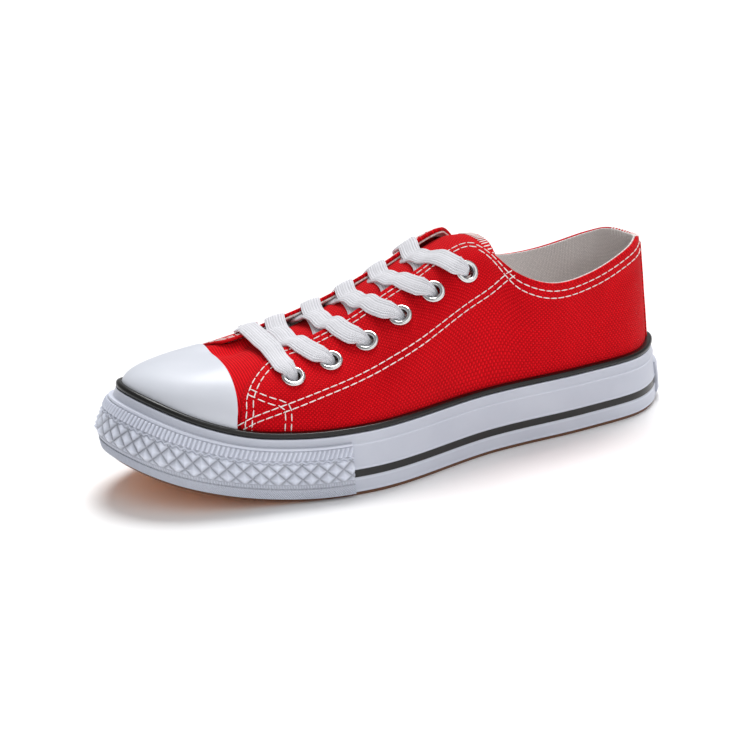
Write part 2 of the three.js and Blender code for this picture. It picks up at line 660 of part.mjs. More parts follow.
put('outsole', outsoleShape(), finish.gum);
put('midsole', layer(CORE_INSET, CORE_BASE, CORE_TOP), finish.foam);
put('foxing', band(WALL_PROFILE), finish.whiteRubber);
put('edge_bead', band(BEAD_PROFILE), finish.blackRubber);
put('toe_bumper', band(BUMPER_PROFILE, BUMPER_STEPS), finish.whiteRubber);
put('heel_label', band(LABEL_PROFILE, LABEL_STEPS), finish.whiteRubber);
put('insole', layer(INSOLE_INSET, INSOLE_BASE, INSOLE_TOP, 30), finish.lining);
put('upper', upperShape(), finish.canvas);
put('toe_cap', toeCapShape(), finish.whiteRubber);
put('tongue', tongueShape(), finish.canvas);
for (const { row, side, point, normal, turn } of eyeletPlaces) {
  const { x, y, z } = point.clone().addScaledVector(normal, EYELET_LIFT);
  const ring = eyeletShape().applyQuaternion(turn).translate(x, y, z);
  put(`eyelet_${side > 0 ? 'outer' : 'inner'}_${row + 1}`, ring, finish.nickel);
}
put('lace_bar', barShape(), finish.lace);
for (const row of steps(EYELETS.length).slice(1)) {
  put(`lace_crossing_${row + 1}`, crossingShape(row), finish.lace);
}

// The origin is the middle of the shoe's box in plan, on the ground.
const box = new THREE.Box3().setFromObject(group);
const middle = box.getCenter(new THREE.Vector3());
group.position.set(-middle.x, -middle.y, -box.min.z);

export default group;
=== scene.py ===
"""Looks of a low canvas lace-up shoe for the left foot.

Every cloth and rubber piece is laid on the same two surfaces: the sole's outline, drawn in by an
inset at each height, and the upper, whose upright ribs run from the sole's rim to the top edge.
A place on the upper is given by "at", which counts the rows of OUTLINE from the heel round the
outer side, and by its height, 0 at the rim and 1 at the top edge. Tables are in millimetres.
"""

import math

import bmesh
import bpy
import numpy as np
from bpy.props import FloatProperty, FloatVectorProperty, PointerProperty
from mathutils import Matrix, Vector
from mathutils.kdtree import KDTree


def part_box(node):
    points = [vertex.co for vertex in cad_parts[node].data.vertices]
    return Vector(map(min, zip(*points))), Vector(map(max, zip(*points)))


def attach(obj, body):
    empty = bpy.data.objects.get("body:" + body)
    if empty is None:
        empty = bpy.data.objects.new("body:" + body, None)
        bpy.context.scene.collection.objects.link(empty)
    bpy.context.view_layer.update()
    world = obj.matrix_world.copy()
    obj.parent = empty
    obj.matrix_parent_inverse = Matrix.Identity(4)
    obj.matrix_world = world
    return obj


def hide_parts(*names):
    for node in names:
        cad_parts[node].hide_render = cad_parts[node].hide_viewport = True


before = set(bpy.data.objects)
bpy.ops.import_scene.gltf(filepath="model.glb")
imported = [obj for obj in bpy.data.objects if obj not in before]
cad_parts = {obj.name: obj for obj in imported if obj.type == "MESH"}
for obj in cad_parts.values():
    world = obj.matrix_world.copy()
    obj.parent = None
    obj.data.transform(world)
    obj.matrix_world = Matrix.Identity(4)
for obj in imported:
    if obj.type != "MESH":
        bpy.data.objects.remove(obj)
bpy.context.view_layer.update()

bl_info = {
    "name": "Canvas lace-up shoe",
    "version": (1, 0, 0),
    "blender": (4, 5, 0),
    "location": "View3D > Sidebar > Shoe",
    "description": "Builds the cloth, rubber, laces and stitching of a low canvas shoe",
    "category": "Object",
}

MM = 0.001

# ---- Sizes shared with the solid model -----------------------------------------------------
# The upper stands on its rim, and goes on below it inside the sole wall, down to its base.
RIM = 30.0
UPPER_BASE = 10.0
UPPER_INSET = 5.5
# Round the toe the wall leans in and rises above the bulge's height, and tucks in below it.
TOE_START = 76.0
TOE_LEAN = 7.5
TOE_RISE = 4.5
TOE_UNDERCUT = 2.0
BULGE_HEIGHT = 10.0
# The whole sole curves up towards the toe from here.
SPRING_START = 47.0
SPRING_RUN = 90.5
TOE_SPRING = 21.0
WALL_BASE = 1.8
WALL_TOP = 27.0

# The sole's outline in plan, from the heel along the outer side to the toe and back.
OUTLINE = np.array([
    (-135.8, -1), (-128.3, 14.5), (-113, 27), (-80, 33), (-30, 36.5), (30, 50),
    (74, 43), (113, 29.5), (129, 12), (134.2, -5), (130, -20), (116, -32),
    (60, -47), (0, -39), (-55, -32), (-112, -29), (-128.5, -16),
])
ROUND = len(OUTLINE)
OUTLINE_END = OUTLINE[:, 0].max()

# One rib of the upper a row: its place along the outline, its top end, how it leaves the rim
# (lean, rise) and how it arrives at the top (reach, level), as shares of the run and the height.
UPPER_RIBS = np.array([
    # at, x, y, z, lean, rise, reach, level
    (0.0, -125.4, -0.5, 82.0, 0.3, 0.3, 0.7, 0.75),
    (1.0, -120.0, 11.5, 81.2, 0.1, 0.3, 0.6, 0.75),
    (2.0, -109.0, 20.0, 77.3, 0.0, 0.35, 0.5, 0.75),
    (2.9, -86.0, 26.5, 71.3, 0.0, 0.4, 0.4, 0.75),
    (3.35, -66.0, 29.5, 70.6, 0.0, 0.4, 0.4, 0.75),
    (3.62, -50.0, 28.0, 77.0, 0.0, 0.5, 0.3, 0.85),
    (3.85, -37.5, 19.5, 89.2, 0.0, 0.7, 0.15, 0.95),
    (4.0, -31.5, 14.2, 92.2, 0.0, 0.75, 0.1, 0.95),
    (4.15, -22.0, 13.6, 90.0, 0.0, 0.75, 0.1, 0.95),
    (4.45, -5.0, 13.5, 81.7, 0.0, 0.65, 0.2, 0.85),
    (4.7, 10.0, 13.5, 75.3, 0.0, 0.6, 0.25, 0.72),
    (4.93, 24.0, 13.5, 68.3, 0.0, 0.5, 0.35, 0.68),
    (5.3, 41.0, 13.5, 61.9, 0.0, 0.48, 0.38, 0.66),
    (5.75, 55.5, 13.2, 58.0, 0.0, 0.53, 0.38, 0.74),
    (6.2, 59.5, 11.0, 58.2, 0.0, 0.6, 0.4, 0.8),
    (7.0, 61.0, 7.0, 57.7, 0.03, 0.7, 0.45, 0.7),
    (8.0, 61.5, 4.0, 57.4, 0.06, 0.8, 0.5, 0.55),
    (9.0, 61.8, 0.0, 57.5, 0.08, 0.85, 0.5, 0.5),
    (10.0, 61.5, -4.0, 57.9, 0.06, 0.8, 0.5, 0.55),
    (11.0, 61.0, -8.0, 58.9, 0.03, 0.7, 0.45, 0.7),
    (11.7, 59.5, -11.5, 60.8, 0.0, 0.6, 0.42, 0.78),
    (12.1, 54.0, -13.3, 62.0, 0.0, 0.55, 0.4, 0.72),
    (12.35, 41.0, -13.5, 65.0, 0.0, 0.52, 0.38, 0.7),
    (12.6, 24.0, -13.5, 69.8, 0.0, 0.55, 0.33, 0.72),
    (12.83, 10.0, -13.5, 75.2, 0.0, 0.6, 0.25, 0.75),
    (13.1, -5.0, -13.5, 81.2, 0.0, 0.65, 0.2, 0.85),
    (13.4, -22.0, -13.6, 89.2, 0.0, 0.75, 0.1, 0.95),
    (13.57, -31.5, -14.2, 92.0, 0.0, 0.75, 0.1, 0.95),
    (13.7, -37.5, -19.5, 89.2, 0.0, 0.7, 0.15, 0.95),
    (13.93, -50.0, -28.0, 77.0, 0.0, 0.5, 0.3, 0.85),
    (14.2, -66.0, -29.5, 70.6, 0.0, 0.4, 0.4, 0.75),
    (14.55, -86.0, -26.5, 71.3, 0.0, 0.4, 0.4, 0.75),
    (15.0, -109.0, -20.0, 77.3, 0.0, 0.35, 0.5, 0.75),
    (16.0, -120.0, -12.0, 81.2, 0.1, 0.3, 0.6, 0.75),
])
RIB_HEADINGS = np.array([1, 0, 0, 0, 0, 0, 0, 0])
RIBS = np.vstack([
    UPPER_RIBS[-2:] - ROUND * RIB_HEADINGS,
    UPPER_RIBS,
    UPPER_RIBS[:3] + ROUND * RIB_HEADINGS,
])

# The tongue's top surface along its middle, x and z, with its half width, and how far it falls
# away from its middle by share of the half width.
TONGUE_ROWS = np.array([
    (-44, 90.8, 22), (-32, 88.6, 22), (-20, 83.9, 22), (-5, 77.2, 22), (10, 70.9, 22),
    (24, 64.4, 21.5), (41, 58, 21), (56, 54.2, 20), (66, 53.4, 19), (74, 53, 18),
])
TONGUE_FALL = np.array([(0, 0), (0.3, 0.3), (0.6, 1.6), (0.8, 4.0), (1, 7.5)])

# The eyelets in plan, the same on both sides of the throat, from the toe to the ankle.
EYELETS = [(59.0, 29.4), (41.2, 28.2), (24.2, 28.0), (8.0, 27.8), (-8.0, 27.4), (-24.2, 27.0)]

# The outer face of the sole wall and of the toe bumper: height and inset.
WALL_FACE = np.array([(WALL_BASE, 0), (10, 0.3), (20, 1.2), (WALL_TOP, 2.3)])
BUMPER_FACE = np.array([(WALL_BASE, -1.7), (10, -1.4), (20, -0.5), (23.6, 0.5)])
# The toe cap's rear edge, seen from the side.
CAP_EDGE = np.array([(28, 86.6), (38, 85.8), (45, 84.9), (54, 84), (90, 84.3)])

# ---- Sizes of the looks alone --------------------------------------------------------------
# How far the collar dips at the very back, and over what distance.
HEEL_DIP, HEEL_DIP_WIDTH = 3.4, 13.0
# How far the tongue is pushed up between the facings, at its highest.
TONGUE_LIFT = 2.7
# Offsets from the upper's face, outwards: the canvas's back, the vamp's face, and the lining.
CLOTH_BACK = -1.1
VAMP_FACE = -0.3
LINING_FACE, LINING_BACK = -1.15, -1.95
# The canvas goes down behind the sole wall to this height, as a share below the rim.
CLOTH_FOOT = -0.3
HOLE_RADIUS = 3.25
# Where the toe bumper ends and the dark stripe of the sole wall begins, by x.
BUMPER_END = 42.0
# The middle of the dark stripe, and half the height of its bed.
STRIPE_MIDDLE, STRIPE_BED = 9.9, 1.75
# The sole wall's raised lines: the middle, width and height of each.
WALL_LINES = ((22.4, 0.36, 0.34), (12.35, 0.42, 0.26), (7.45, 0.42, 0.26), (2.3, 0.5, 0.3), (26.8, 0.5, 0.15))
# The edge bead: the height of its middle, its radius, and the insets of its middle and its back.
BEAD_MIDDLE, BEAD_RADIUS, BEAD_INSET, BEAD_BACK = 28.5, 1.25, 3.0, 5.0
# The heel label: half its length, its base and its top.
LABEL_HALF, LABEL_BASE, LABEL_TOP = 15.5, 3.5, 18.5
# The tread's inset from the outline, and its stations along the shoe; the insole's inset, the
# height of its top, and its stations.
TREAD_INSET, TREAD_STATIONS = 0.9, 420
INSOLE_INSET, INSOLE_TOP, INSOLE_STATIONS = 7.7, 12.6, 220
# The backstay's half width, in places along the outline, and the height where it stops.
STAY_HALF, STAY_TOP = 0.62, 0.93

# How far a strap of the lace sways towards the toe, by share of its way across: a crossing's
# strap, and the lowest bar.
LACE_SWAY = np.array([
    (0, 0), (0.1, 2), (0.19, 4.2), (0.26, 5), (0.37, 4.5), (0.5, 2.6), (0.62, 1.6), (0.8, 1.5),
])
BAR_SWAY = np.array([(0, 0), (0.1, 1.8), (0.19, 3.0), (0.4, 4.2), (0.75, 4.7), (0.85, 4.0), (1, 0)])
# Half the lace's width in its own pattern's millimetres, and how many ribs are woven in it.
LACE_HALF_PATTERN, LACE_RIBS = 4.3, 4
# How far above the upper's face a strap lies on the canvas.
LACE_ON_CANVAS = 1.65

# ---- Stitching and folds -------------------------------------------------------------------
# The quarter's front edge on each side, from the sole up to the throat.
QUARTER_EDGES = {
    1: [
        (86, 34, 30), (85, 33.5, 37), (84, 33, 41), (83, 31, 45), (80.5, 28.3, 48.5),
        (77.5, 25.5, 51), (72.5, 21.5, 53.5), (67, 17.8, 55.5), (60, 13.5, 58.4),
    ],
    -1: [
        (86, -34, 30), (85.5, -33, 37), (85, -30, 43), (84, -25, 47), (82, -19, 50),
        (79, -14, 52.5), (75, -10.5, 54.5), (70, -9, 56.2), (61.5, -9, 58),
    ],
}
# Where the inner quarter's front corner lifts off the vamp: both ends, how far, and its width.
CORNER_LIFT = ((82, -11, 51), (64, -6, 57), 3.2, 6.0)

# Double lines of stitches: points on the outer side that they pass near. The inner side has the
# same.
FACING_SEAM = [
    (86, 33.5, 34), (79.5, 35.4, 37), (69.5, 37, 39.5), (60, 38, 41.5), (48, 38.2, 44),
    (33, 38.3, 47.5), (17.5, 38.2, 52.7), (1, 35.8, 58.6), (-21.5, 31, 68), (-34, 28.8, 72.5),
    (-43, 27, 76.7), (-47.5, 27, 78.8),
]
PATCH_SEAM = [
    (79.5, 29.8, 47.7), (74, 33.4, 44.8), (70.5, 35, 43.2), (67.6, 36.2, 42), (65.8, 37.2, 40.7),
    (65.5, 38.3, 38), (66.5, 39.2, 30.5),
]
# The gap between the two lines of a double seam.
SEAM_GAP = 2.6
# Lines of stitches along the throat and the collar: first and last place along the outline, and
# how far below the top edge each line runs.
EDGE_SEAMS = (
    (0.55, 3.95, (2.6, 5.9)), (3.95, 5.95, (2.0, 4.8)), (11.75, 13.6, (2.0, 4.8)), (13.6, 16.45, (2.6, 5.9)),
)
# Soft folds in the canvas: both ends of each, how deep (minus) or proud it is, and its width.
FOLDS = [
    ((-122, 18, 69), (-100, 27, 64), -0.9, 4.5),
    ((-124, 10, 74), (-112, 22, 72), 0.5, 4.0),
    ((-60, 34, 62), (-34, 33, 52), -0.5, 8.0),
    ((-30, 30, 66), (-4, 36, 52), -0.35, 7.0),
    ((30, 44, 44), (52, 42, 38), -0.4, 6.0),
    ((66, 30, 50), (58, 38, 42), 0.35, 4.0),
    ((85, -4, 50), (66, -4, 57.5), -2.3, 5.5),
    ((76, -18, 52), (73, 12, 54), -0.4, 3.0),
    ((68, -6, 57), (69, 10, 57), 0.35, 3.0),
    ((-60, -34, 60), (-30, -33, 50), -0.5, 8.0),
    ((20, -40, 48), (50, -42, 40), -0.5, 7.0),
    ((-122, -18, 68), (-100, -26, 63), -0.8, 4.5),
    ((-128, 0, 60), (-130, 0, 45), -0.3, 7.0),
]


def tongue_shift():
    """How far the solid model was moved to put its box on the origin, in millimetres."""
    low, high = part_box("tongue")
    return np.array([
        low.x / MM - TONGUE_ROWS[0, 0],
        (low.y + high.y) / 2 / MM,
        high.z / MM - TONGUE_ROWS[0, 1],
    ])


SHIFT = tongue_shift()


# ---- Small sums ----------------------------------------------------------------------------
def unit(vectors):
    return vectors / np.maximum(np.linalg.norm(vectors, axis=-1, keepdims=True), 1e-9)


def same_length(*values):
    """Numbers and arrays as arrays of one length."""
    return np.broadcast_arrays(*(np.atleast_1d(np.asarray(value, float)) for value in values))


def lookup(value, table):
    """The second column of a table at values of its first."""
    return np.interp(value, table[:, 0], table[:, 1])


def blended(place, places, rows):
    """Rows of numbers blended from places to other places."""
    return np.column_stack([np.interp(place, places, column) for column in np.transpose(rows)])


def ramp(value, start, run):
    """0 at a start and 1 a run further on, with a straight slope; a run below 0 goes downwards."""
    return np.clip((value - start) / run, 0, 1)


def band(value, low, high, edge):
    """1 from low to high and 0 outside, with slopes inside both ends."""
    return ramp(value, low, edge) * ramp(value, high, -edge)


def ridge(value, middle, width):
    return np.exp(-(((value - middle) / width) ** 2))


def wave(turns):
    return np.cos(2 * math.pi * turns)


def squared(part, power):
    """A sine or a cosine squared off by a power below 1."""
    return np.sign(part) * np.abs(part) ** power


def to_grid_line(p, q):
    """How far a place is from the nearest line of two slanted grids: 0 on a line, up to 0.5."""
    return np.minimum(*(np.minimum(part - np.floor(part), 1 - part + np.floor(part)) for part in (p, q)))


def running_length(line):
    """The length along a line of points, at each of them."""
    return np.concatenate([[0], np.cumsum(np.linalg.norm(np.diff(line, axis=0), axis=1))])


def near_segment(points, start, end):
    """The share along a straight line where each point lies beside it, and how far off it is."""
    start, run = np.array(start, float), np.subtract(end, start)
    share = np.clip((points - start) @ run / (run @ run), 0, 1)
    return share, np.linalg.norm(points - start - share[:, None] * run, axis=1)


def search_tree(points):
    tree = KDTree(len(points))
    for i, point in enumerate(points):
        tree.insert(point, i)
    tree.balance()
    return tree


# ---- The two surfaces ----------------------------------------------------------------------
def span_cubics(points, closed):
    """Cubics of the smooth line through points, one a span, that keeps its corners round."""
    count = len(points)
    cubics = []
    for i in range(count if closed else count - 1):
        start, end = points[i], points[(i + 1) % count]
        before = points[i - 1] if closed or i > 0 else 2 * start - end
        after = points[(i + 2) % count] if closed or i < count - 2 else 2 * end - start
        near, here, far = (
            math.sqrt(np.linalg.norm(b - a))
            for a, b in ((before, start), (start, end), (end, after))
        )
        leave = here * ((start - before) / near - (end - before) / (near + here) + (end - start) / here)
        arrive = here * ((end - start) / here - (after - start) / (here + far) + (after - end) / far)
        bend = 3 * (end - start) - 2 * leave - arrive
        cubics.append([start, leave, bend, 2 * (start - end) + leave + arrive])
    return np.array(cubics)


def on_cubics(cubics, place):
    """Points and directions at places counted in spans."""
    span = np.clip(np.floor(place).astype(int), 0, len(cubics) - 1)
    t = (place - span)[:, None]
    c = cubics[span]
    point = c[:, 0] + t * (c[:, 1] + t * (c[:, 2] + t * c[:, 3]))
    along = c[:, 1] + t * (2 * c[:, 2] + 3 * t * c[:, 3])
    return point, along


OUTLINE_CUBICS = span_cubics(OUTLINE, True)


def spring(x):
    return TOE_SPRING * (np.maximum(0, x - SPRING_START) / SPRING_RUN) ** 2


def on_outline(at, inset, z):
    """Points on the sole's outline drawn in by an inset, leaning back and rising round the toe."""
    at, inset, z = same_length(at, inset, z)
    point, along = on_cubics(OUTLINE_CUBICS, np.mod(at, ROUND))
    along = unit(along)
    outward = np.column_stack([-along[:, 1], along[:, 0]])
    toe = np.clip((point[:, 0] - TOE_START) / (OUTLINE_END - TOE_START), 0, 1)
    share = toe * toe * (3 - 2 * toe)
    above = np.clip((np.minimum(z, RIM) - BULGE_HEIGHT) / (RIM - BULGE_HEIGHT), 0, None)
    below = np.clip((BULGE_HEIGHT - z) / BULGE_HEIGHT, 0, None)
    lean = share * (TOE_LEAN * above + TOE_UNDERCUT * below)
    point = point - outward * (inset + lean)[:, None]
    return np.column_stack([point, z + share * TOE_RISE * above + spring(point[:, 0])])


LENGTH_STEPS = np.linspace(0, ROUND, 3401)
LENGTHS = running_length(on_outline(LENGTH_STEPS, 0, BULGE_HEIGHT))


def outline_length(at):
    """Millimetres along the outline from the middle of the heel."""
    turns = np.floor(np.asarray(at) / ROUND)
    return turns * LENGTHS[-1] + np.interp(at - turns * ROUND, LENGTH_STEPS, LENGTHS)


def outline_place(length):
    """The place along the outline at a length in millimetres."""
    turns = np.floor(np.asarray(length) / LENGTHS[-1])
    return turns * ROUND + np.interp(length - turns * LENGTHS[-1], LENGTHS, LENGTH_STEPS)


def ribs_at(at):
    """Rows of the rib table blended smoothly to any places along the outline."""
    place = np.mod(at, ROUND)
    row = np.searchsorted(RIBS[:, 0], place, side="right") - 1
    before, start, end, after = (RIBS[row + k] for k in (-1, 0, 1, 2))
    span = (end[:, 0] - start[:, 0])[:, None]
    t = ((place - start[:, 0])[:, None]) / span
    leave = span * (end - before) / (end[:, :1] - before[:, :1])
    arrive = span * (after - start) / (after[:, :1] - start[:, :1])
    return (
        (2 * t**3 - 3 * t**2 + 1) * start + (t**3 - 2 * t**2 + t) * leave
        + (3 * t**2 - 2 * t**3) * end + (t**3 - t**2) * arrive
    )[:, 1:]


def upper(at, height):
    """Points on the upper's outer face."""
    at, height = same_length(at, height)
    rib, on_back = ribs_at(at), ribs_at(np.zeros(1))[0]
    rim = on_outline(at, UPPER_INSET, RIM)
    from_back = np.linalg.norm(rib[:, :2] - on_back[:2], axis=1)
    top = rib[:, :3] - np.outer(HEEL_DIP * ridge(from_back, 0, HEEL_DIP_WIDTH), (0, 0, 1))
    run = top - rim
    leave = rim + run * rib[:, [3, 3, 4]]
    arrive = rim + run * rib[:, [5, 5, 6]]
    t = np.clip(height, 0, 1)[:, None]
    s = 1 - t
    wall = s**3 * rim + 3 * s * s * t * leave + 3 * s * t * t * arrive + t**3 * top
    foot = on_outline(at, UPPER_INSET, RIM + np.minimum(height, 0) * (RIM - UPPER_BASE))
    return np.where((height < 0)[:, None], foot, wall)


# A step along the outline or up a rib, small enough to give the surface's slope.
NUDGE = 0.01


def upper_frame(at, height):
    """Points on the upper with the way the surface faces and the way up it."""
    at, height = same_length(at, height)
    up = upper(at, np.minimum(height + NUDGE, 1)) - upper(at, np.minimum(height, 1 - NUDGE))
    along = upper(at + NUDGE, height) - upper(at - NUDGE, height)
    return upper(at, height), unit(np.cross(up, along)), unit(up)


def fold_depth(points):
    """How far the canvas stands proud of its plain shape, along each of its soft folds."""
    depth = np.zeros(len(points))
    for start, end, proud, width in FOLDS:
        share, away = near_segment(points, start, end)
        depth += proud * ridge(away, 0, width) * (0.35 + 0.65 * np.sin(math.pi * share))
    return depth


def corner_lift(points):
    """How far the inner quarter's front corner has lifted off the vamp."""
    start, end, lift, width = CORNER_LIFT
    share, away = near_segment(points, start, end)
    return lift * ridge(away, 0, width) * (0.3 + 0.7 * share)


def on_cloth(at, height, offset, above=0):
    """Points at an offset from the upper's face, with its folds, and above its edge."""
    point, normal, up = upper_frame(at, height)
    lift = np.broadcast_to(np.asarray(offset, float), len(point)) + fold_depth(point)
    over = np.broadcast_to(np.asarray(above, float), len(point))
    return point + normal * lift[:, None] + up * over[:, None]


TREE_AT, TREE_HEIGHT = (a.ravel() for a in np.meshgrid(np.arange(0, ROUND, 0.05), np.linspace(0, 1, 25)))
TREE = search_tree(upper(TREE_AT, TREE_HEIGHT))
# The step for slopes where a place is sought, and the share of each correction that is taken.
FINE_NUDGE = 0.002
SEEK_SHARE = 0.8


def nearest_places(points):
    """The places on the upper nearest to points."""
    found = np.array([TREE.find(Vector(p))[1] for p in points])
    at, height = TREE_AT[found], TREE_HEIGHT[found]
    for _ in range(12):
        here = upper(at, height)
        by_at = (upper(at + FINE_NUDGE, height) - here) / FINE_NUDGE
        higher, lower = np.minimum(height + FINE_NUDGE, 1), np.minimum(height, 1 - FINE_NUDGE)
        by_height = (upper(at, higher) - upper(at, lower)) / FINE_NUDGE
        gap = points - here
        aa, hh = (by_at**2).sum(1), (by_height**2).sum(1)
        ah = (by_at * by_height).sum(1)
        ga, gh = (by_at * gap).sum(1), (by_height * gap).sum(1)
        det = aa * hh - ah * ah + 1e-9
        at = at + SEEK_SHARE * (ga * hh - gh * ah) / det
        height = np.clip(height + SEEK_SHARE * (gh * aa - ga * ah) / det, -0.4, 1)
    return at, height


def rib_steps(at, heights):
    """The lengths of the steps between heights, up the rib at each place."""
    return np.linalg.norm(np.diff([upper(at, height) for height in heights], axis=0), axis=2)


def below_edge(at, distance):
    """The height at a distance in millimetres down from the top edge."""
    heights = np.linspace(1, 0, 61)
    run = np.vstack([np.zeros(len(at)), np.cumsum(rib_steps(at, heights), axis=0)])
    return np.array([np.interp(distance, down, heights) for down in run.T])


RIB_PLACES = np.linspace(0, ROUND, 341)
RIB_LENGTHS = rib_steps(RIB_PLACES, np.linspace(0, 1, 21)).sum(axis=0)


def smooth_line(points, per_span=12):
    """Points close together along the smooth line through a few."""
    points = np.array(points, float)
    places = np.linspace(0, len(points) - 1, (len(points) - 1) * per_span + 1)
    return on_cubics(span_cubics(points, False), places)[0]


def edge_over_height(points):
    """A cloth panel's upright edge, as the place along the outline for a height."""
    at, height = nearest_places(smooth_line(points, 10))
    order = np.argsort(height)
    return lambda h: np.interp(h, height[order], at[order])


# ---- Cloth and rubber sheets ---------------------------------------------------------------
def turned_edge(heights, outer, inner, inner_rows=8):
    """Section of a layer: rows of height, offset and above, up its outer face, over the rounded
    top edge and down its inner face, back to the start."""
    middle, radius = (outer + inner) / 2, (outer - inner) / 2
    turn = np.linspace(0, math.pi, 8)[1:-1]
    rows = [(h, outer, 0) for h in heights]
    rows += [(1, middle + radius * math.cos(t), radius * math.sin(t)) for t in turn]
    rows += [(h, inner, 0) for h in np.linspace(heights[-1], heights[0], inner_rows)]
    return np.array(rows + rows[:1])


def rounded_columns(count, radius):
    """Columns of a layer that ends in rounded edges: share, millimetres in and fullness."""
    turn = np.linspace(0, math.pi / 2, 5)
    left = [(0, radius * (1 - math.cos(t)), math.sin(t)) for t in turn]
    middle = [(s, radius * (1 - 2 * s), 1) for s in np.linspace(0, 1, count)[1:-1]]
    right = [(1, -inward, full) for _, inward, full in reversed(left)]
    return np.array(left + middle + right)


def raw_points(mesh):
    flat = np.empty(len(mesh.vertices) * 3)
    mesh.vertices.foreach_get("co", flat)
    return flat.reshape(-1, 3)


def shoe_points(mesh):
    """A mesh's points in the tables' millimetres."""
    return raw_points(mesh) / MM - SHIFT


def move_points(mesh, points):
    """Puts a mesh's points where the tables' millimetres say."""
    mesh.vertices.foreach_set("co", ((points + SHIFT) * MM).ravel())
    mesh.update()


def placed(name, data):
    """A new object in the scene for a mesh, a light or a camera."""
    thing = bpy.data.objects.new(name, data)
    bpy.context.scene.collection.objects.link(thing)
    return thing


def sheet(name, across, along, shape, sharp=60):
    """A mesh object from a grid whose points shape() places, with their pattern coordinates.

    shape takes the column and row numbers and returns points and pattern, both in millimetres.
    """
    bm = bmesh.new()
    bmesh.ops.create_grid(bm, x_segments=across, y_segments=along, size=0.5)
    mesh = bpy.data.meshes.new(name)
    bm.to_mesh(mesh)
    place = raw_points(mesh)[:, :2] + 0.5
    column, row = (np.rint(place[:, i] * count).astype(int) for i, count in enumerate((across, along)))
    points, pattern = shape(column, row)
    move_points(mesh, points)
    layer = mesh.uv_layers.new(name="pattern")
    corner = np.empty(len(mesh.loops), int)
    mesh.loops.foreach_get("vertex_index", corner)
    layer.data.foreach_set("uv", pattern[corner, :2].ravel())
    if pattern.shape[1] > 2:
        mesh.attributes.new("relief", "FLOAT", "POINT").data.foreach_set("value", pattern[:, 2])
    bm.clear()
    bm.from_mesh(mesh)
    bmesh.ops.remove_doubles(bm, verts=bm.verts, dist=2e-6)
    bmesh.ops.dissolve_degenerate(bm, edges=bm.edges, dist=1e-6)
    bmesh.ops.recalc_face_normals(bm, faces=bm.faces)
    return finished(name, bm, mesh, sharp)


def finished(name, bm, mesh, sharp=60):
    """Turns a bmesh into a smooth-shaded object with its sharp edges kept."""
    for face in bm.faces:
        face.smooth = True
    bm.to_mesh(mesh)
    bm.free()
    mesh.set_sharp_from_angle(angle=math.radians(sharp))
    return placed(name, mesh)


def repeated(name, form, matrices):
    """One mesh that holds a small form once at each matrix, given in millimetres."""
    mesh = bpy.data.meshes.new(name)
    form.to_mesh(mesh)
    form.free()
    count, corners = len(mesh.vertices), [list(p.vertices) for p in mesh.polygons]
    base = np.column_stack([raw_points(mesh), np.ones(count)])
    stack = np.array([np.array(m) for m in matrices])
    points = np.einsum("nij,vj->nvi", stack, base)[:, :, :3].reshape(-1, 3)
    faces = [[v + count * n for v in face] for n in range(len(stack)) for face in corners]
    whole = bpy.data.meshes.new(name)
    whole.from_pydata(((points + SHIFT) * MM).tolist(), [], faces)
    whole.shade_smooth()
    whole.set_sharp_from_angle(angle=math.radians(60))
    bpy.data.meshes.remove(mesh)
    return placed(name, whole)


def dress(piece, finish):
    """Gives a piece one finish in place of any that it has."""
    piece.data.materials.clear()
    piece.data.materials.append(FINISHES[finish])


def settle(piece, finish, slot, *nodes):
    """Gives a piece its finish and its body, and hides the solid nodes that it stands for. slot is not used.
    """
    dress(piece, finish)
    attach(piece, "root")
    if nodes:
        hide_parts(*nodes)


def upper_layer(name, ends, columns, section, weave, lifted=False):
    """A layer of cloth on the upper between two ends, given as places for a height."""
    start, finish = ends
    radius = (section[:, 1].max() - section[:, 1].min()) / 2
    middle = (section[:, 1].max() + section[:, 1].min()) / 2
    table = rounded_columns(columns, radius)

    def shape(column, row):
        height, offset, above = section[row].T
        share, inward, full = table[column].T
        low, high = start(height), finish(height)
        at = low + (high - low) * share
        # Millimetres a place, kept above a least value where the ribs draw together.
        speed = np.linalg.norm(upper(at + NUDGE, height) - upper(at - NUDGE, height), axis=1) / (2 * NUDGE)
        at = at + inward / np.maximum(speed, 2)
        points = on_cloth(at, height, middle + (offset - middle) * full, above * full)
        if lifted:
            points = points + upper_frame(at, height)[1] * corner_lift(points)[:, None]
        return points, weave(at, height, points)

    return sheet(name, len(table) - 1, len(section) - 1, shape)


def wrapped_weave(at, height, points):
    """Pattern coordinates that run round the shoe and up its wall."""
    rib = np.interp(np.mod(at, ROUND), RIB_PLACES, RIB_LENGTHS)
    return np.column_stack([outline_length(at), height * rib])


# The roll of the instep that its cloth is laid over: its radius and the height of its middle.
INSTEP_RADIUS, INSTEP_MIDDLE = 38, 20


def instep_weave(at, height, points):
    """Pattern coordinates that run along the shoe and over its instep."""
    turn = np.arctan2(points[:, 1], points[:, 2] - INSTEP_MIDDLE)
    return np.column_stack([points[:, 0], INSTEP_RADIUS * turn])


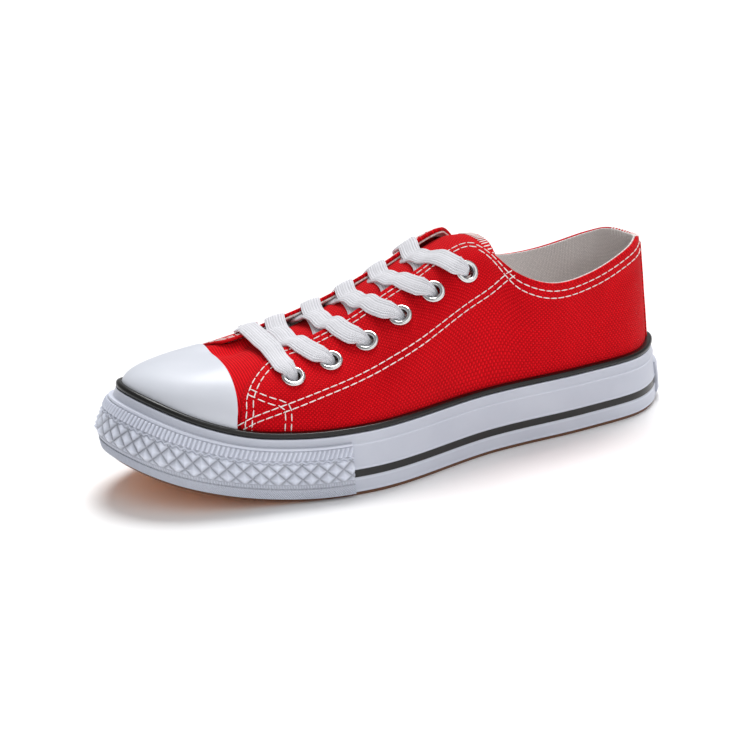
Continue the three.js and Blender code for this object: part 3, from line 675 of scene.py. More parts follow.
def outline_band(name, ends, columns, section, relief=None):
    """A closed band round the outline.

    section: rows of height and inset, and whether the row is on the face that takes the relief.
    relief takes lengths and heights and gives millimetres.
    """
    lengths = np.linspace(*outline_length(np.array(ends, float)), columns + 1)
    places = outline_place(lengths)
    if ends[1] - ends[0] >= ROUND:
        table = np.column_stack([np.arange(columns + 1), np.ones(columns + 1)])
    else:
        steps = [(0, 0), (0, 0.35), (0, 0.7), (0, 1)]
        last = [(columns, full) for _, full in reversed(steps)]
        table = np.array(steps + [(i, 1) for i in range(1, columns)] + last)

    def shape(column, row):
        z, inset, face = section[row].T
        step, full = table[column].T
        step = step.astype(int)
        back = section[:, 1].max()
        proud = relief(lengths[step], z) * face if relief else 0 * z
        inset = back + (inset - proud - back) * full
        return on_outline(places[step], inset, z), np.column_stack([lengths[step], z, proud])

    return sheet(name, len(table) - 1, len(section) - 1, shape, sharp=50)


def face_rows(face, count, top_inset, back, top, base):
    """Section of a band: its face in many rows, then over its top and down its back."""
    reach = 6
    z = np.linspace(face[0, 0], face[-1, 0], count)
    curve = np.pad(lookup(z, face), reach, mode="reflect", reflect_type="odd")
    smooth = np.convolve(curve, np.ones(2 * reach + 1) / (2 * reach + 1), mode="valid")
    rows = [(a, b, 1) for a, b in zip(z, smooth)]
    rows += [(top, top_inset, 0), (top, (top_inset + back) / 2, 0)]
    rows += [(a, back, 0) for a in np.linspace(top, base, 5)]
    return np.array(rows + rows[:1], float)


# ---- Reliefs -------------------------------------------------------------------------------
def wall_relief(length, z):
    """Fine raised lines on the sole wall, and the shallow bed of its dark stripe."""
    lines = sum(height * ridge(z, middle, width) for middle, width, height in WALL_LINES)
    return lines - 0.3 * ramp(np.abs(z - STRIPE_MIDDLE), STRIPE_BED, -0.25)


def bumper_relief(length, z):
    """The moulded front of the toe: slanted ribs, a wavy lip, rows of diamonds and a hatched hem."""
    sizes = bpy.context.scene.shoe_sizes
    wide, tall = sizes.diamond_width / MM, sizes.diamond_height / MM
    ripple = 0.35 * wave(2 * length / wide)
    slanted = (length + 0.45 * (z - 20)) / (sizes.rib_pitch / MM)
    ribs = band(z, 18.35, 22.55, 0.4) * (0.7 + 0.5 * wave(slanted))
    lips = 0.75 * ramp(z, 22.5, 0.3) + 0.85 * ridge(z, 17.75 + ripple, 0.42)
    along, up = length / wide, (z - 10.2) / tall
    peak = 2 * to_grid_line(along + up, along - up)
    diamonds = band(z, 8.0, 17.2 + ripple, 0.4) * (1.5 * peak - 0.35 * ramp(peak, 0.1, -0.1))
    comb = 0.4 * band(z, 6.3, 7.9, 0.3) * (0.5 + 0.5 * wave(length / 1.15))
    dots = -0.55 * ridge(z, 6.0, 0.25) * (0.6 + 0.4 * wave(length / 1.6))
    hem = 0.35 * ramp(z, 5.8, -0.3) + 0.2 * ramp(z, 5.6, -0.3) * wave((length - 0.8 * z) / 0.95)
    return ribs + lips + diamonds + comb + dots + hem - 0.35


# ---- Stitches ------------------------------------------------------------------------------
def shifted_line(at, height, gap):
    """A line on the upper moved sideways over the surface by a gap in millimetres."""
    point, normal, _ = upper_frame(at, height)
    side = unit(np.cross(normal, unit(np.gradient(point, axis=0))))
    return nearest_places(point + side * gap)


def stitch_places(at, height, offset, pitch):
    """Matrices for stitches along a line of places, in millimetres."""
    normal = upper_frame(at, height)[1]
    line = on_cloth(at, height, offset)
    line = line + normal * corner_lift(line)[:, None]
    run = running_length(line)
    count = max(1, int(run[-1] / pitch))
    matrices = []
    for k in range(count):
        stops = (k + np.array([0, 0.5, 1])) * run[-1] / count
        start, middle, end = blended(stops, run, line)
        facing = blended(stops, run, normal)[1]
        matrices.append(stitch_matrix(middle, unit(end - start), unit(facing)))
    return matrices


def stitch_matrix(point, along, normal):
    side = np.cross(normal, along)
    matrix = np.eye(4)
    matrix[:3, 0], matrix[:3, 1], matrix[:3, 2], matrix[:3, 3] = along, unit(side), normal, point
    return matrix


def thread_form(length, width, height):
    """One stitch: a plump length of thread with blunt ends, laid along X."""
    form = bmesh.new()
    bmesh.ops.create_uvsphere(form, u_segments=8, v_segments=6, radius=1)
    for vert in form.verts:
        x, y, z = vert.co
        vert.co = (squared(x, 0.45) * length / 2, y * width / 2, z * height / 2)
    return form


def double_line(points, side):
    """The two lines of a double seam, either side of a line through points, on one side of the shoe."""
    places = nearest_places(smooth_line(points, 16) * (1, side, 1))
    return [shifted_line(*places, gap) for gap in (-SEAM_GAP / 2, SEAM_GAP / 2)]


def seam_lines():
    """All the stitched lines on the quarter, as places on the upper."""
    lines = []
    for side in (1, -1):
        edge = nearest_places(smooth_line(QUARTER_EDGES[side], 16))
        lines += [shifted_line(*edge, -side * gap) for gap in (2.2, 5.0)]
        lines += double_line(FACING_SEAM, side) + double_line(PATCH_SEAM, side)
    for first, last, distances in EDGE_SEAMS:
        at = np.linspace(first, last, 160)
        lines += [(at, below_edge(at, distance)) for distance in distances]
    return lines


# ---- Finishes ------------------------------------------------------------------------------
def colour(code):
    """An sRGB hex colour as the linear colour that shaders take."""
    parts = [int(code[i:i + 2], 16) / 255 for i in (0, 2, 4)]
    return tuple(p / 12.92 if p <= 0.04045 else ((p + 0.055) / 1.055) ** 2.4 for p in parts) + (1.0,)


def add(tree, kind, inputs=None, **settings):
    """Adds a shader node, sets its properties and fills its inputs.

    An input takes a number, a colour, a socket, or a node that stands for its first output.
    """
    node = tree.nodes.new(kind)
    for name, value in settings.items():
        setattr(node, name, value)
    for name, value in (inputs or {}).items():
        if isinstance(value, bpy.types.Node):
            value = value.outputs[0]
        if isinstance(value, bpy.types.NodeSocket):
            tree.links.new(value, node.inputs[name])
        else:
            node.inputs[name].default_value = value
    return node


def new_finish(name):
    """An empty material and its tree."""
    material = bpy.data.materials.new(name)
    material.use_nodes = True
    material.node_tree.nodes.clear()
    return material, material.node_tree


def surface(tree, inputs):
    """Ends a material's tree with its shader, which takes values and links."""
    shader = add(tree, "ShaderNodeBsdfPrincipled", inputs)
    add(tree, "ShaderNodeOutputMaterial", {"Surface": shader})


def woven_threads(tree, pattern, pitch, ribbed):
    """A plain weave on pattern coordinates: a signed height that says which threads lie on top.

    A ribbed weave shows the threads of one direction only.
    """
    wobble = add(tree, "ShaderNodeTexNoise", {"Vector": pattern, "Scale": 0.22, "Detail": 2.0})
    bend = {0: wobble.outputs["Color"], "Scale": 0.6 * pitch * (1 - ribbed)}
    bend = add(tree, "ShaderNodeVectorMath", bend, operation="SCALE")
    moved = add(tree, "ShaderNodeVectorMath", {0: pattern, 1: bend}, operation="ADD")
    axes = add(tree, "ShaderNodeSeparateXYZ", {"Vector": moved})
    waves = []
    for axis in "XY":
        turn = add(tree, "ShaderNodeMath", {0: axes.outputs[axis], 1: math.pi / pitch}, operation="MULTIPLY")
        waves.append(add(tree, "ShaderNodeMath", {0: turn}, operation="SINE"))
    size = add(tree, "ShaderNodeMath", {0: waves[1]}, operation="ABSOLUTE")
    even = add(tree, "ShaderNodeMix", {0: ribbed, 2: waves[1], 3: size})
    even = add(tree, "ShaderNodeMix", {0: ribbed, 2: even, 3: 1.0})
    return add(tree, "ShaderNodeMath", {0: waves[0], 1: even}, operation="MULTIPLY")


def canvas_finish(name, bright, dark, pitch=0.95, ribbed=0.0):
    """Dyed cotton duck in a plain weave: dull, with bright thread tops and deep gaps between.

    pitch is the thread spacing in mm, coarser than a real duck's, so that single threads show.
    """
    material, tree = new_finish(name)
    pattern = add(tree, "ShaderNodeTexCoord").outputs["UV"]
    cross = woven_threads(tree, pattern, pitch, ribbed)
    bump = add(tree, "ShaderNodeMath", {0: cross}, operation="ABSOLUTE")
    fibre = add(tree, "ShaderNodeTexNoise", {"Vector": pattern, "Scale": 1.4, "Detail": 3.0})
    worn = add(tree, "ShaderNodeTexNoise", {"Vector": pattern, "Scale": 0.045, "Detail": 3.0})
    top = add(tree, "ShaderNodeMapRange", {"Value": cross, "From Min": -0.75, "From Max": 0.75})
    threads = add(tree, "ShaderNodeMix", {0: top, 6: dark, 7: bright}, data_type="RGBA").outputs[2]
    # Painted shade darkens the gaps between threads and painted light brightens the thread tops; the fibres
    # are uneven, and the dye faintly worn.
    tone = 1.0
    for value, low, high, darkest, brightest in (
        (bump, 0.0, 0.45, 0.66, 1.08), (fibre, 0.3, 0.7, 0.88, 1.1), (worn, 0.3, 0.7, 0.93, 1.05),
    ):
        shade = add(tree, "ShaderNodeMapRange", {
            "Value": value, "From Min": low, "From Max": high, "To Min": darkest, "To Max": brightest,
        })
        tone = add(tree, "ShaderNodeMath", {0: tone, 1: shade}, operation="MULTIPLY")
    surface(tree, {
        "Base Color": add(tree, "ShaderNodeVectorMath", {0: threads, "Scale": tone}, operation="SCALE"),
        "Roughness": add(tree, "ShaderNodeMapRange", {"Value": fibre, "To Min": 0.82, "To Max": 0.98}),
        "Normal": add(tree, "ShaderNodeBump", {"Height": bump, "Strength": 0.55, "Distance": 0.35 * MM}),
        "Specular IOR Level": 0.08,
        "Sheen Weight": 0.04,
        "Sheen Roughness": 0.45,
    })
    return material


def rubber_finish(name, base, shade, roughness, paint_relief_shading=False, edge=None):
    """Moulded vulcanised rubber: a satin skin with faint clouding and a fine orange-peel grain.

    Rubber with its relief shaded gets painted shade in the relief's hollows and painted light on its ridges.
    edge is a painted shade colour for upright faces.
    """
    material, tree = new_finish(name)
    place = add(tree, "ShaderNodeTexCoord").outputs["Object"]
    # Clouds about 26 mm across, and grains of 0.35 mm.
    cloud = add(tree, "ShaderNodeTexNoise", {"Vector": place, "Scale": 38.0, "Detail": 4.0})
    grain = add(tree, "ShaderNodeTexNoise", {"Vector": place, "Scale": 1 / (0.35 * MM), "Detail": 2.0})
    tint = add(tree, "ShaderNodeMapRange", {"Value": cloud, "From Min": 0.35, "From Max": 0.7})
    skin = {0: tint, 6: colour(base), 7: colour(shade)}
    skin = add(tree, "ShaderNodeMix", skin, data_type="RGBA").outputs[2]
    # Upright faces take the edge colour: painted shade.
    if edge:
        facing = add(tree, "ShaderNodeNewGeometry").outputs["Normal"]
        level = add(tree, "ShaderNodeSeparateXYZ", {0: facing}).outputs["Z"]
        level = add(tree, "ShaderNodeMath", {0: level}, operation="ABSOLUTE")
        flat = add(tree, "ShaderNodeMapRange", {"Value": level, "From Min": 0.55, "From Max": 0.8})
        skin = add(tree, "ShaderNodeMix", {0: flat, 6: colour(edge), 7: skin}, data_type="RGBA").outputs[2]
    # Painted shade in the relief's hollows and painted light on its ridges, from the stored relief height.
    if paint_relief_shading:
        depth = add(tree, "ShaderNodeAttribute", attribute_name="relief").outputs["Fac"]
        painted_relief_shading = add(tree, "ShaderNodeMapRange", {
            "Value": depth, "From Min": -0.5, "From Max": 0.6, "To Min": 0.68, "To Max": 1.2,
        })
        skin = add(tree, "ShaderNodeVectorMath", {0: skin, "Scale": painted_relief_shading}, operation="SCALE")
    surface(tree, {
        "Base Color": skin,
        "Roughness": add(tree, "ShaderNodeMapRange", {
            "Value": cloud, "To Min": roughness - 0.07, "To Max": roughness + 0.07,
        }),
        "Normal": add(tree, "ShaderNodeBump", {"Height": grain, "Strength": 0.12, "Distance": 0.08 * MM}),
        "IOR": 1.5,
        "Specular IOR Level": 0.42,
    })
    return material


def lace_finish():
    """Flat woven polyester lace: bright white, with fine slanted threads and grooves between ribs."""
    material, tree = new_finish("woven_polyester_lace")
    pattern = add(tree, "ShaderNodeTexCoord").outputs["UV"]
    axes = add(tree, "ShaderNodeSeparateXYZ", {"Vector": pattern})
    folded = add(tree, "ShaderNodeMath", {0: axes.outputs["Y"], 1: 1.05}, operation="PINGPONG")
    slant = add(tree, "ShaderNodeMath", {0: axes.outputs["X"], 1: folded}, operation="ADD")
    turn = add(tree, "ShaderNodeMath", {0: slant, 1: 2 * math.pi / 0.8}, operation="MULTIPLY")
    twill = add(tree, "ShaderNodeMath", {0: turn}, operation="SINE")
    soft = add(tree, "ShaderNodeTexNoise", {"Vector": pattern, "Scale": 0.8, "Detail": 3.0})
    turn = {0: axes.outputs["Y"], 1: 2 * math.pi * LACE_RIBS / LACE_HALF_PATTERN}
    turn = add(tree, "ShaderNodeMath", turn, operation="MULTIPLY")
    ribs = add(tree, "ShaderNodeMath", {0: turn}, operation="COSINE")
    # Painted shade darkens the grooves between the ribs; the slanted threads and a soft noise vary the tone.
    tone = 1.0
    for value, low, high, darkest, brightest in (
        (twill, -1.0, 1.0, 0.93, 1.0), (soft, 0.0, 1.0, 0.95, 1.03), (ribs, -1.0, -0.2, 0.8, 1.0),
    ):
        shade = add(tree, "ShaderNodeMapRange", {
            "Value": value, "From Min": low, "From Max": high, "To Min": darkest, "To Max": brightest,
        })
        tone = add(tree, "ShaderNodeMath", {0: tone, 1: shade}, operation="MULTIPLY")
    white = colour("f1f1f7")[:3]
    surface(tree, {
        "Base Color": add(tree, "ShaderNodeVectorMath", {0: white, "Scale": tone}, operation="SCALE"),
        "Normal": add(tree, "ShaderNodeBump", {"Height": twill, "Strength": 0.6, "Distance": 0.16 * MM}),
        "Roughness": 0.8,
        "Specular IOR Level": 0.3,
        "Sheen Weight": 0.15,
    })
    return material


def nickel_finish():
    """Nickel-plated brass eyelet, stamped and tumbled: bright, with faint rubbed marks."""
    material, tree = new_finish("nickel_plate")
    place = add(tree, "ShaderNodeTexCoord").outputs["Object"]
    rub = add(tree, "ShaderNodeTexNoise", {"Vector": place, "Scale": 900.0, "Detail": 3.0})
    tint = {0: rub, 6: colour("c9cac9"), 7: colour("e4e5e6")}
    surface(tree, {
        "Base Color": add(tree, "ShaderNodeMix", tint, data_type="RGBA").outputs[2],
        "Roughness": add(tree, "ShaderNodeMapRange", {"Value": rub, "To Min": 0.12, "To Max": 0.32}),
        "Metallic": 1.0,
    })
    return material


def thread_finish():
    """Cream-white cotton sewing thread, with a slight twist that breaks its highlight."""
    material, tree = new_finish("cotton_thread")
    place = add(tree, "ShaderNodeTexCoord").outputs["Object"]
    twist = add(tree, "ShaderNodeTexNoise", {"Vector": place, "Scale": 1600.0, "Detail": 2.0})
    tint = {0: twist, 6: colour("e8dfd8"), 7: colour("ffffff")}
    surface(tree, {
        "Base Color": add(tree, "ShaderNodeMix", tint, data_type="RGBA").outputs[2],
        "Normal": add(tree, "ShaderNodeBump", {"Height": twist, "Strength": 0.3, "Distance": 0.1 * MM}),
        "Roughness": 0.75,
        "Specular IOR Level": 0.25,
    })
    return material


def floor_finish():
    """Matt white paper: nearly even, with a breath of grey."""
    material, tree = new_finish("pale_paper_floor")
    place = add(tree, "ShaderNodeTexCoord").outputs["Object"]
    soft = add(tree, "ShaderNodeTexNoise", {"Vector": place, "Scale": 3.0})
    tint = {0: soft, 6: colour("fbfbfc"), 7: colour("ffffff")}
    surface(tree, {
        "Base Color": add(tree, "ShaderNodeMix", tint, data_type="RGBA").outputs[2],
        "Roughness": 0.9,
        "Specular IOR Level": 0.1,
    })
    return material


FINISHES = {}


def make_finishes(colours):
    """All the shoe's materials, by the names that the operators use."""
    dye, shade = tuple(colours.canvas), tuple(colours.canvas_shade)
    FINISHES.update(
        canvas=canvas_finish("dyed_cotton_duck", dye, shade),
        # The vamp's cloth shows the ribs of one direction only, which run over the instep.
        vamp=canvas_finish("dyed_cotton_duck_vamp", dye, shade, 0.58, 0.85),
        lining=canvas_finish("cotton_drill_lining", colour("fdf6f4"), colour("efe9e6"), 0.7),
        insole=canvas_finish("cotton_insole_cloth", colour("d9d5cf"), colour("b9b4ae"), 0.9),
        # A polished mould leaves the toe cap glossier than the wall, and the bead glossier still.
        cap=rubber_finish("white_rubber_toe_cap", "d6d9e2", "d1d5de", 0.38),
        white=rubber_finish("white_vulcanised_rubber", "d0d4e0", "c9cdda", 0.46, paint_relief_shading=True),
        black=rubber_finish("black_vulcanised_rubber", "0d0d0c", "171716", 0.3),
        # Gum rubber is warm and dull, and its upright faces are darkened brown with painted shade.
        gum=rubber_finish("gum_rubber_tread", "f09a48", "d8843a", 0.55, edge="6b4630"),
        core=rubber_finish("pressed_filler_board", "cfc7b6", "bdb4a2", 0.85),
        lace=lace_finish(),
        nickel=nickel_finish(),
        thread=thread_finish(),
        floor=floor_finish(),
    )


# ---- Properties ----------------------------------------------------------------------------
LENGTH = {"unit": "LENGTH", "precision": 5}
TINT = {"subtype": "COLOR", "size": 4, "min": 0, "max": 1}


class ShoeSizes(bpy.types.PropertyGroup):
    """Sizes that a maker of the shoe would change."""

    quarter_proud: FloatProperty(
        name="Quarter proud", description="How far the quarter's canvas stands over the vamp",
        default=0.6 * MM, min=0.2 * MM, max=1.2 * MM, **LENGTH,
    )
    stitch_length: FloatProperty(
        name="Stitch length", description="Length of one stitch", default=3.4 * MM, **LENGTH,
    )
    stitch_gap: FloatProperty(
        name="Stitch gap", description="Canvas between two stitches", default=0.45 * MM, **LENGTH,
    )
    thread: FloatProperty(
        name="Thread", description="Thickness of the sewing thread", default=0.56 * MM, **LENGTH,
    )
    rib_pitch: FloatProperty(
        name="Rib pitch", description="Spacing of the toe bumper's ribs", default=2.0 * MM, **LENGTH,
    )
    diamond_width: FloatProperty(
        name="Diamond width", description="Width of the toe bumper's diamonds", default=7.0 * MM, **LENGTH,
    )
    diamond_height: FloatProperty(
        name="Diamond height", description="Height of the toe bumper's diamonds", default=6.2 * MM, **LENGTH,
    )
    lace_width: FloatProperty(
        name="Lace width", description="Width of the flat lace", default=9.2 * MM, **LENGTH,
    )
    lace_thickness: FloatProperty(
        name="Lace thickness", description="Thickness of the flat lace", default=1.4 * MM, **LENGTH,
    )


class ShoeColours(bpy.types.PropertyGroup):
    """Colours that a maker of the shoe would change."""

    canvas: FloatVectorProperty(
        name="Canvas", description="Tops of the dyed threads", default=colour("e80f1d"), **TINT,
    )
    canvas_shade: FloatVectorProperty(
        name="Canvas shade", description="Threads that lie underneath", default=colour("bd020d"), **TINT,
    )


# ---- Pieces --------------------------------------------------------------------------------
# Where the throat's edge lies along the outline, on the outer and on the inner side.
THROAT_SIDES = {1: (3.6, 6.8), -1: (11.2, 14.0)}


def place_over(x, y):
    """The place on the upper that lies over a point in plan."""
    first, last = THROAT_SIDES[math.copysign(1, y)]
    at, height = (a.ravel() for a in np.meshgrid(np.arange(first, last, 0.02), np.linspace(0.35, 0.99, 33)))
    points = upper(at, height)
    best = np.argmin((points[:, 0] - x) ** 2 + (points[:, 1] - y) ** 2)
    at, height = at[best : best + 1], height[best : best + 1]
    for _ in range(8):
        here = upper(at, height)[0]
        by_at = (upper(at + FINE_NUDGE, height)[0] - here) / FINE_NUDGE
        by_height = (upper(at, height + FINE_NUDGE)[0] - here) / FINE_NUDGE
        det = by_at[0] * by_height[1] - by_at[1] * by_height[0]
        dx, dy = x - here[0], y - here[1]
        at = at + (dx * by_height[1] - dy * by_height[0]) / det
        height = np.minimum(0.99, height + (by_at[0] * dy - by_at[1] * dx) / det)
    return at, height


def eyelet_frames():
    """The place and the facing of every eyelet, outer side first, from the toe to the ankle."""
    frames = []
    for side in (1, -1):
        for x, y in EYELETS:
            point, normal, _ = upper_frame(*place_over(x, side * y))
            frames.append((point[0], normal[0]))
    return frames


EYELET_FRAMES = eyelet_frames()


def facing_matrix(point, normal, lift):
    """A matrix that stands a form on the upper at a point, with its Z along the way it faces."""
    turn = Vector((0, 0, 1)).rotation_difference(Vector(normal)).to_matrix().to_4x4()
    return Matrix.Translation(Vector(point + normal * lift)) @ turn


def cut_eyelet_holes(piece):
    """Punches the lace holes through a layer of the upper."""
    form = bmesh.new()
    bmesh.ops.create_cone(
        form, cap_ends=True, segments=24, radius1=HOLE_RADIUS, radius2=HOLE_RADIUS, depth=12,
    )
    punch = repeated("punch", form, [facing_matrix(p, n, 0) for p, n in EYELET_FRAMES])
    cut = piece.modifiers.new("holes", "BOOLEAN")
    cut.object = punch
    cut.operation = "DIFFERENCE"
    cut.solver = "EXACT"
    graph = bpy.context.evaluated_depsgraph_get()
    mesh = bpy.data.meshes.new_from_object(piece.evaluated_get(graph))
    piece.modifiers.clear()
    old, piece.data = piece.data, mesh
    bpy.data.meshes.remove(old)
    bpy.data.objects.remove(punch)


def quarter_ends():
    """The quarter's front edges, as places for a height, from the inner side round the heel."""
    outer, inner = (edge_over_height(QUARTER_EDGES[side]) for side in (1, -1))
    return (lambda h: inner(h) - ROUND), outer


def sink_under(piece, lines, depth, width):
    """Pulls the cloth in softly along lines of stitches."""
    tree = search_tree(np.vstack([on_cloth(at, height, 0.5)[::2] for at, height in lines]))
    mesh = piece.data
    normals = np.empty(len(mesh.vertices) * 3)
    mesh.vertex_normals.foreach_get("vector", normals)
    points = shoe_points(mesh)
    away = np.array([tree.find(point)[2] for point in points])
    pull = depth * ridge(away, 0, width)
    move_points(mesh, points - normals.reshape(-1, 3) * pull[:, None])


def short_edge(heights, outer, inner):
    """The section of a layer that stops short of the top edge."""
    section = turned_edge(heights, outer, inner)
    section[:, 0] = np.minimum(section[:, 0], heights[-1])
    return section


class SHOE_OT_canvas(bpy.types.Operator):
    """Lays the canvas vamp over the forefoot and the quarter round the heel"""

    bl_idname = "shoe.canvas"
    bl_label = "Canvas"

    def execute(self, context):
        proud = context.scene.shoe_sizes.quarter_proud / MM
        start, finish = quarter_ends()
        heights = np.concatenate([np.linspace(CLOTH_FOOT, 0.9, 54), 1 - np.linspace(0.09, 0, 8)])
        section = turned_edge(heights, proud, CLOTH_BACK)
        quarter = upper_layer("canvas_quarter", (start, finish), 470, section, wrapped_weave, lifted=True)
        sink_under(quarter, seam_lines(), 0.22, 0.95)
        cut_eyelet_holes(quarter)
        settle(quarter, "canvas", "canvas", "upper")
        # The vamp goes on under the quarter by this many places.
        lap = 0.22
        heights = np.concatenate([np.linspace(CLOTH_FOOT, 0.9, 40), [0.95, 1]])
        section = turned_edge(heights, VAMP_FACE, CLOTH_BACK)
        ends = (lambda h: finish(h) - lap, lambda h: start(h) + ROUND + lap)
        settle(upper_layer("canvas_vamp", ends, 200, section, instep_weave), "vamp", "canvas")
        section = short_edge(np.linspace(CLOTH_FOOT, STAY_TOP, 50), proud + 0.75, proud - 0.1)
        ends = (lambda h: np.full(len(h), -STAY_HALF), lambda h: np.full(len(h), STAY_HALF))
        settle(upper_layer("canvas_backstay", ends, 34, section, wrapped_weave), "canvas", "canvas")
        return {"FINISHED"}


class SHOE_OT_lining(bpy.types.Operator):
    """Lines the upper with light cotton, which shows as a fine edge along the collar"""

    bl_idname = "shoe.lining"
    bl_label = "Lining"

    def execute(self, context):
        heights = np.concatenate([np.linspace(-0.95, 0.92, 34), [0.96, 1]])
        section = turned_edge(heights, LINING_FACE, LINING_BACK, 40)
        section[:, 2] = 0.75 * section[:, 2] + 0.4 * ramp(section[:, 0], 0.9, 0.1)
        columns = 300

        def shape(column, row):
            height, offset, above = section[row].T
            at = column * ROUND / columns
            points = on_cloth(at, height, offset, above)
            # The inner face sags a little, and the outer face stays on the canvas.
            sag = 0.35 * np.sin(at * 9) * np.sin(math.pi * np.clip(height, 0, 1)) * (offset < -1.5)
            return points + sag[:, None] * (0, 0.5, 0), wrapped_weave(at, height, points)

        lining = sheet("cotton_lining", columns, len(section) - 1, shape)
        cut_eyelet_holes(lining)
        settle(lining, "lining", "lining")
        return {"FINISHED"}


class SHOE_OT_tongue(bpy.types.Operator):
    """Lays the tongue under the throat and whips its top edge with thread"""

    bl_idname = "shoe.tongue"
    bl_label = "Tongue"

    def execute(self, context):
        spine = smooth_line(TONGUE_ROWS)
        last = len(spine) - 1
        turn = np.linspace(0, 2 * math.pi, 61)
        across, round_up = squared(np.cos(turn), 0.35), squared(np.sin(turn), 0.35)
        # Both ends close through a few rows at one place, from nothing to the full thickness.
        ends = [0, 0.6, 0.92, 1]
        full = np.array(ends + [1] * (last - 1) + ends[::-1])
        rows = np.concatenate([[0] * 4, np.arange(1, last), [last] * 4])

        def on_top(x, share):
            z, half = blended(x, spine[:, 0], spine[:, 1:]).T
            half = half * (1 - 0.18 * ramp(x, -34, -10) ** 2)
            soft = 0.25 * np.sin(x * 0.31 + share * 2.2)
            lift = TONGUE_LIFT * ramp(x, -46, 36) * ramp(x, 68, -16) * (1 - 0.5 * share)
            fall = lookup(np.abs(share), TONGUE_FALL)
            return np.column_stack([x, share * half, z + lift - fall + soft - 0.1])

        def shape(column, row):
            points = on_top(spine[rows[column], 0], across[row])
            points[:, 2] -= 0.75 * (1 - round_up[row] * full[column])
            return points, points[:, :2]

        tongue = sheet("canvas_tongue", len(rows) - 1, 60, shape)
        settle(tongue, "canvas", "canvas", "tongue")
        share = np.linspace(-0.96, 0.96, 21)
        rear = np.full(len(share), spine[0, 0] + 0.2)
        edge, beside = on_top(rear, share), on_top(rear, share + 0.02)
        front = on_top(rear + 4.2, share - 0.03)
        down, back = np.array([0, 0, -1.0]), np.array([-1.0, 0, 0])
        matrices = []
        for start, end, side in zip(edge, front, beside):
            along = unit(end - start)
            normal = unit(np.cross(along, unit(side - start)))
            matrices.append(stitch_matrix((start + end) / 2 + normal * 0.12, along, normal))
            matrices.append(stitch_matrix(start + (-0.25, 0, -1.6), down, back))
        settle(repeated("tongue_whipping", thread_form(4.0, 0.7, 0.5), matrices), "thread", "lace")
        return {"FINISHED"}


class SHOE_OT_toe_cap(bpy.types.Operator):
    """Moulds the smooth toe cap over the front of the vamp"""

    bl_idname = "shoe.toe_cap"
    bl_label = "Toe cap"

    def execute(self, context):
        # The cap's edge: the height up each rib where it passes the rear edge.
        places, heights = np.linspace(5.6, 12.2, 1321), np.linspace(0.0, 0.98, 99)
        points = upper(*(a.ravel() for a in np.meshgrid(places, heights, indexing="ij")))
        gap = (points[:, 0] - lookup(points[:, 2], CAP_EDGE)).reshape(len(places), len(heights))
        first = np.argmax(gap < 0, axis=1)
        row = np.arange(len(places))
        share = gap[row, first - 1] / (gap[row, first - 1] - gap[row, first])
        edge = heights[first - 1] + share * (heights[1] - heights[0])
        inside = places[first > 3]
        turn = 0.5 - 0.5 * np.cos(np.linspace(0, math.pi, 161))
        columns = inside[0] + (inside[-1] - inside[0]) * turn
        edges = np.interp(columns, inside, edge[first > 3])
        foot, back = -0.25, -0.35
        shares = np.concatenate([np.linspace(0, 0.94, 40), [0.97, 1]])
        face = [(s, 1.75 - 0.4 * s**6, 0) for s in shares]
        turn = np.linspace(0.3, math.pi / 2, 5)
        lip = [(1, 1.35 - 0.7 * (1 - math.cos(a)), 0.7 * math.sin(a)) for a in turn]
        behind = [(1, back, 0.7), (1, back, 0), (0.5, back, 0), (0, back, 0)]
        section = np.array(face + lip + behind + face[:1])

        def shape(column, step):
            share, offset, above = section[step].T
            height = foot + (edges[column] - foot) * share
            at = columns[column]
            points = on_cloth(at, height, offset, above)
            return points, instep_weave(at, height, points)

        cap = sheet("rubber_toe_cap", len(columns) - 1, len(section) - 1, shape, sharp=45)
        settle(cap, "cap", "white_rubber", "toe_cap")
        return {"FINISHED"}


class SHOE_OT_sole_wall(bpy.types.Operator):
    """Wraps the sole with its white wall, the dark stripe and the black edge bead"""

    bl_idname = "shoe.sole_wall"
    bl_label = "Sole wall"

    def execute(self, context):
        section = face_rows(WALL_FACE, 74, 3.0, 4.8, WALL_TOP + 0.05, WALL_BASE)
        wall = outline_band("rubber_sole_wall", (0, ROUND), 460, section, wall_relief)
        settle(wall, "white", "white_rubber", "foxing")
        turn = np.linspace(math.radians(-80), math.radians(95), 13)
        up, out = BEAD_RADIUS * np.sin(turn), BEAD_RADIUS * np.cos(turn)
        bead = [(BEAD_MIDDLE + z, BEAD_INSET - inset, 0) for z, inset in zip(up, out)]
        top, base = BEAD_MIDDLE + BEAD_RADIUS, BEAD_MIDDLE - BEAD_RADIUS
        bead += [(top, 4.0, 0), *((z, BEAD_BACK, 0) for z in (top, BEAD_MIDDLE, base)), (base, 3.6, 0)]
        cord = outline_band("rubber_edge_bead", (0, ROUND), 460, np.array(bead + bead[:1], float))
        settle(cord, "black", "black_rubber", "edge_bead")
        outer, inner = place_at_x(BUMPER_END)
        face = [(z, lookup(z, WALL_FACE) + 0.08, 0) for z in STRIPE_MIDDLE + np.linspace(-1.6, 1.6, 9)]
        low, high, back = STRIPE_MIDDLE - 1.65, STRIPE_MIDDLE + 1.65, 0.9
        rows = [(low, back, 0), *face, (high, back, 0), (STRIPE_MIDDLE, back, 0)]
        stripe = outline_band("rubber_stripe", (inner - ROUND, outer), 330, np.array(rows + rows[:1]))
        settle(stripe, "black", "black_rubber")
        return {"FINISHED"}


def place_at_x(x):
    """The places on the outer and the inner side where the outline passes an x value."""
    steps = np.linspace(0, ROUND, 1701)
    along = on_outline(steps, 0, BULGE_HEIGHT)[:, 0]
    outer, inner = steps < 9, steps > 9
    return np.interp(x, along[outer], steps[outer]), np.interp(x, along[inner][::-1], steps[inner][::-1])


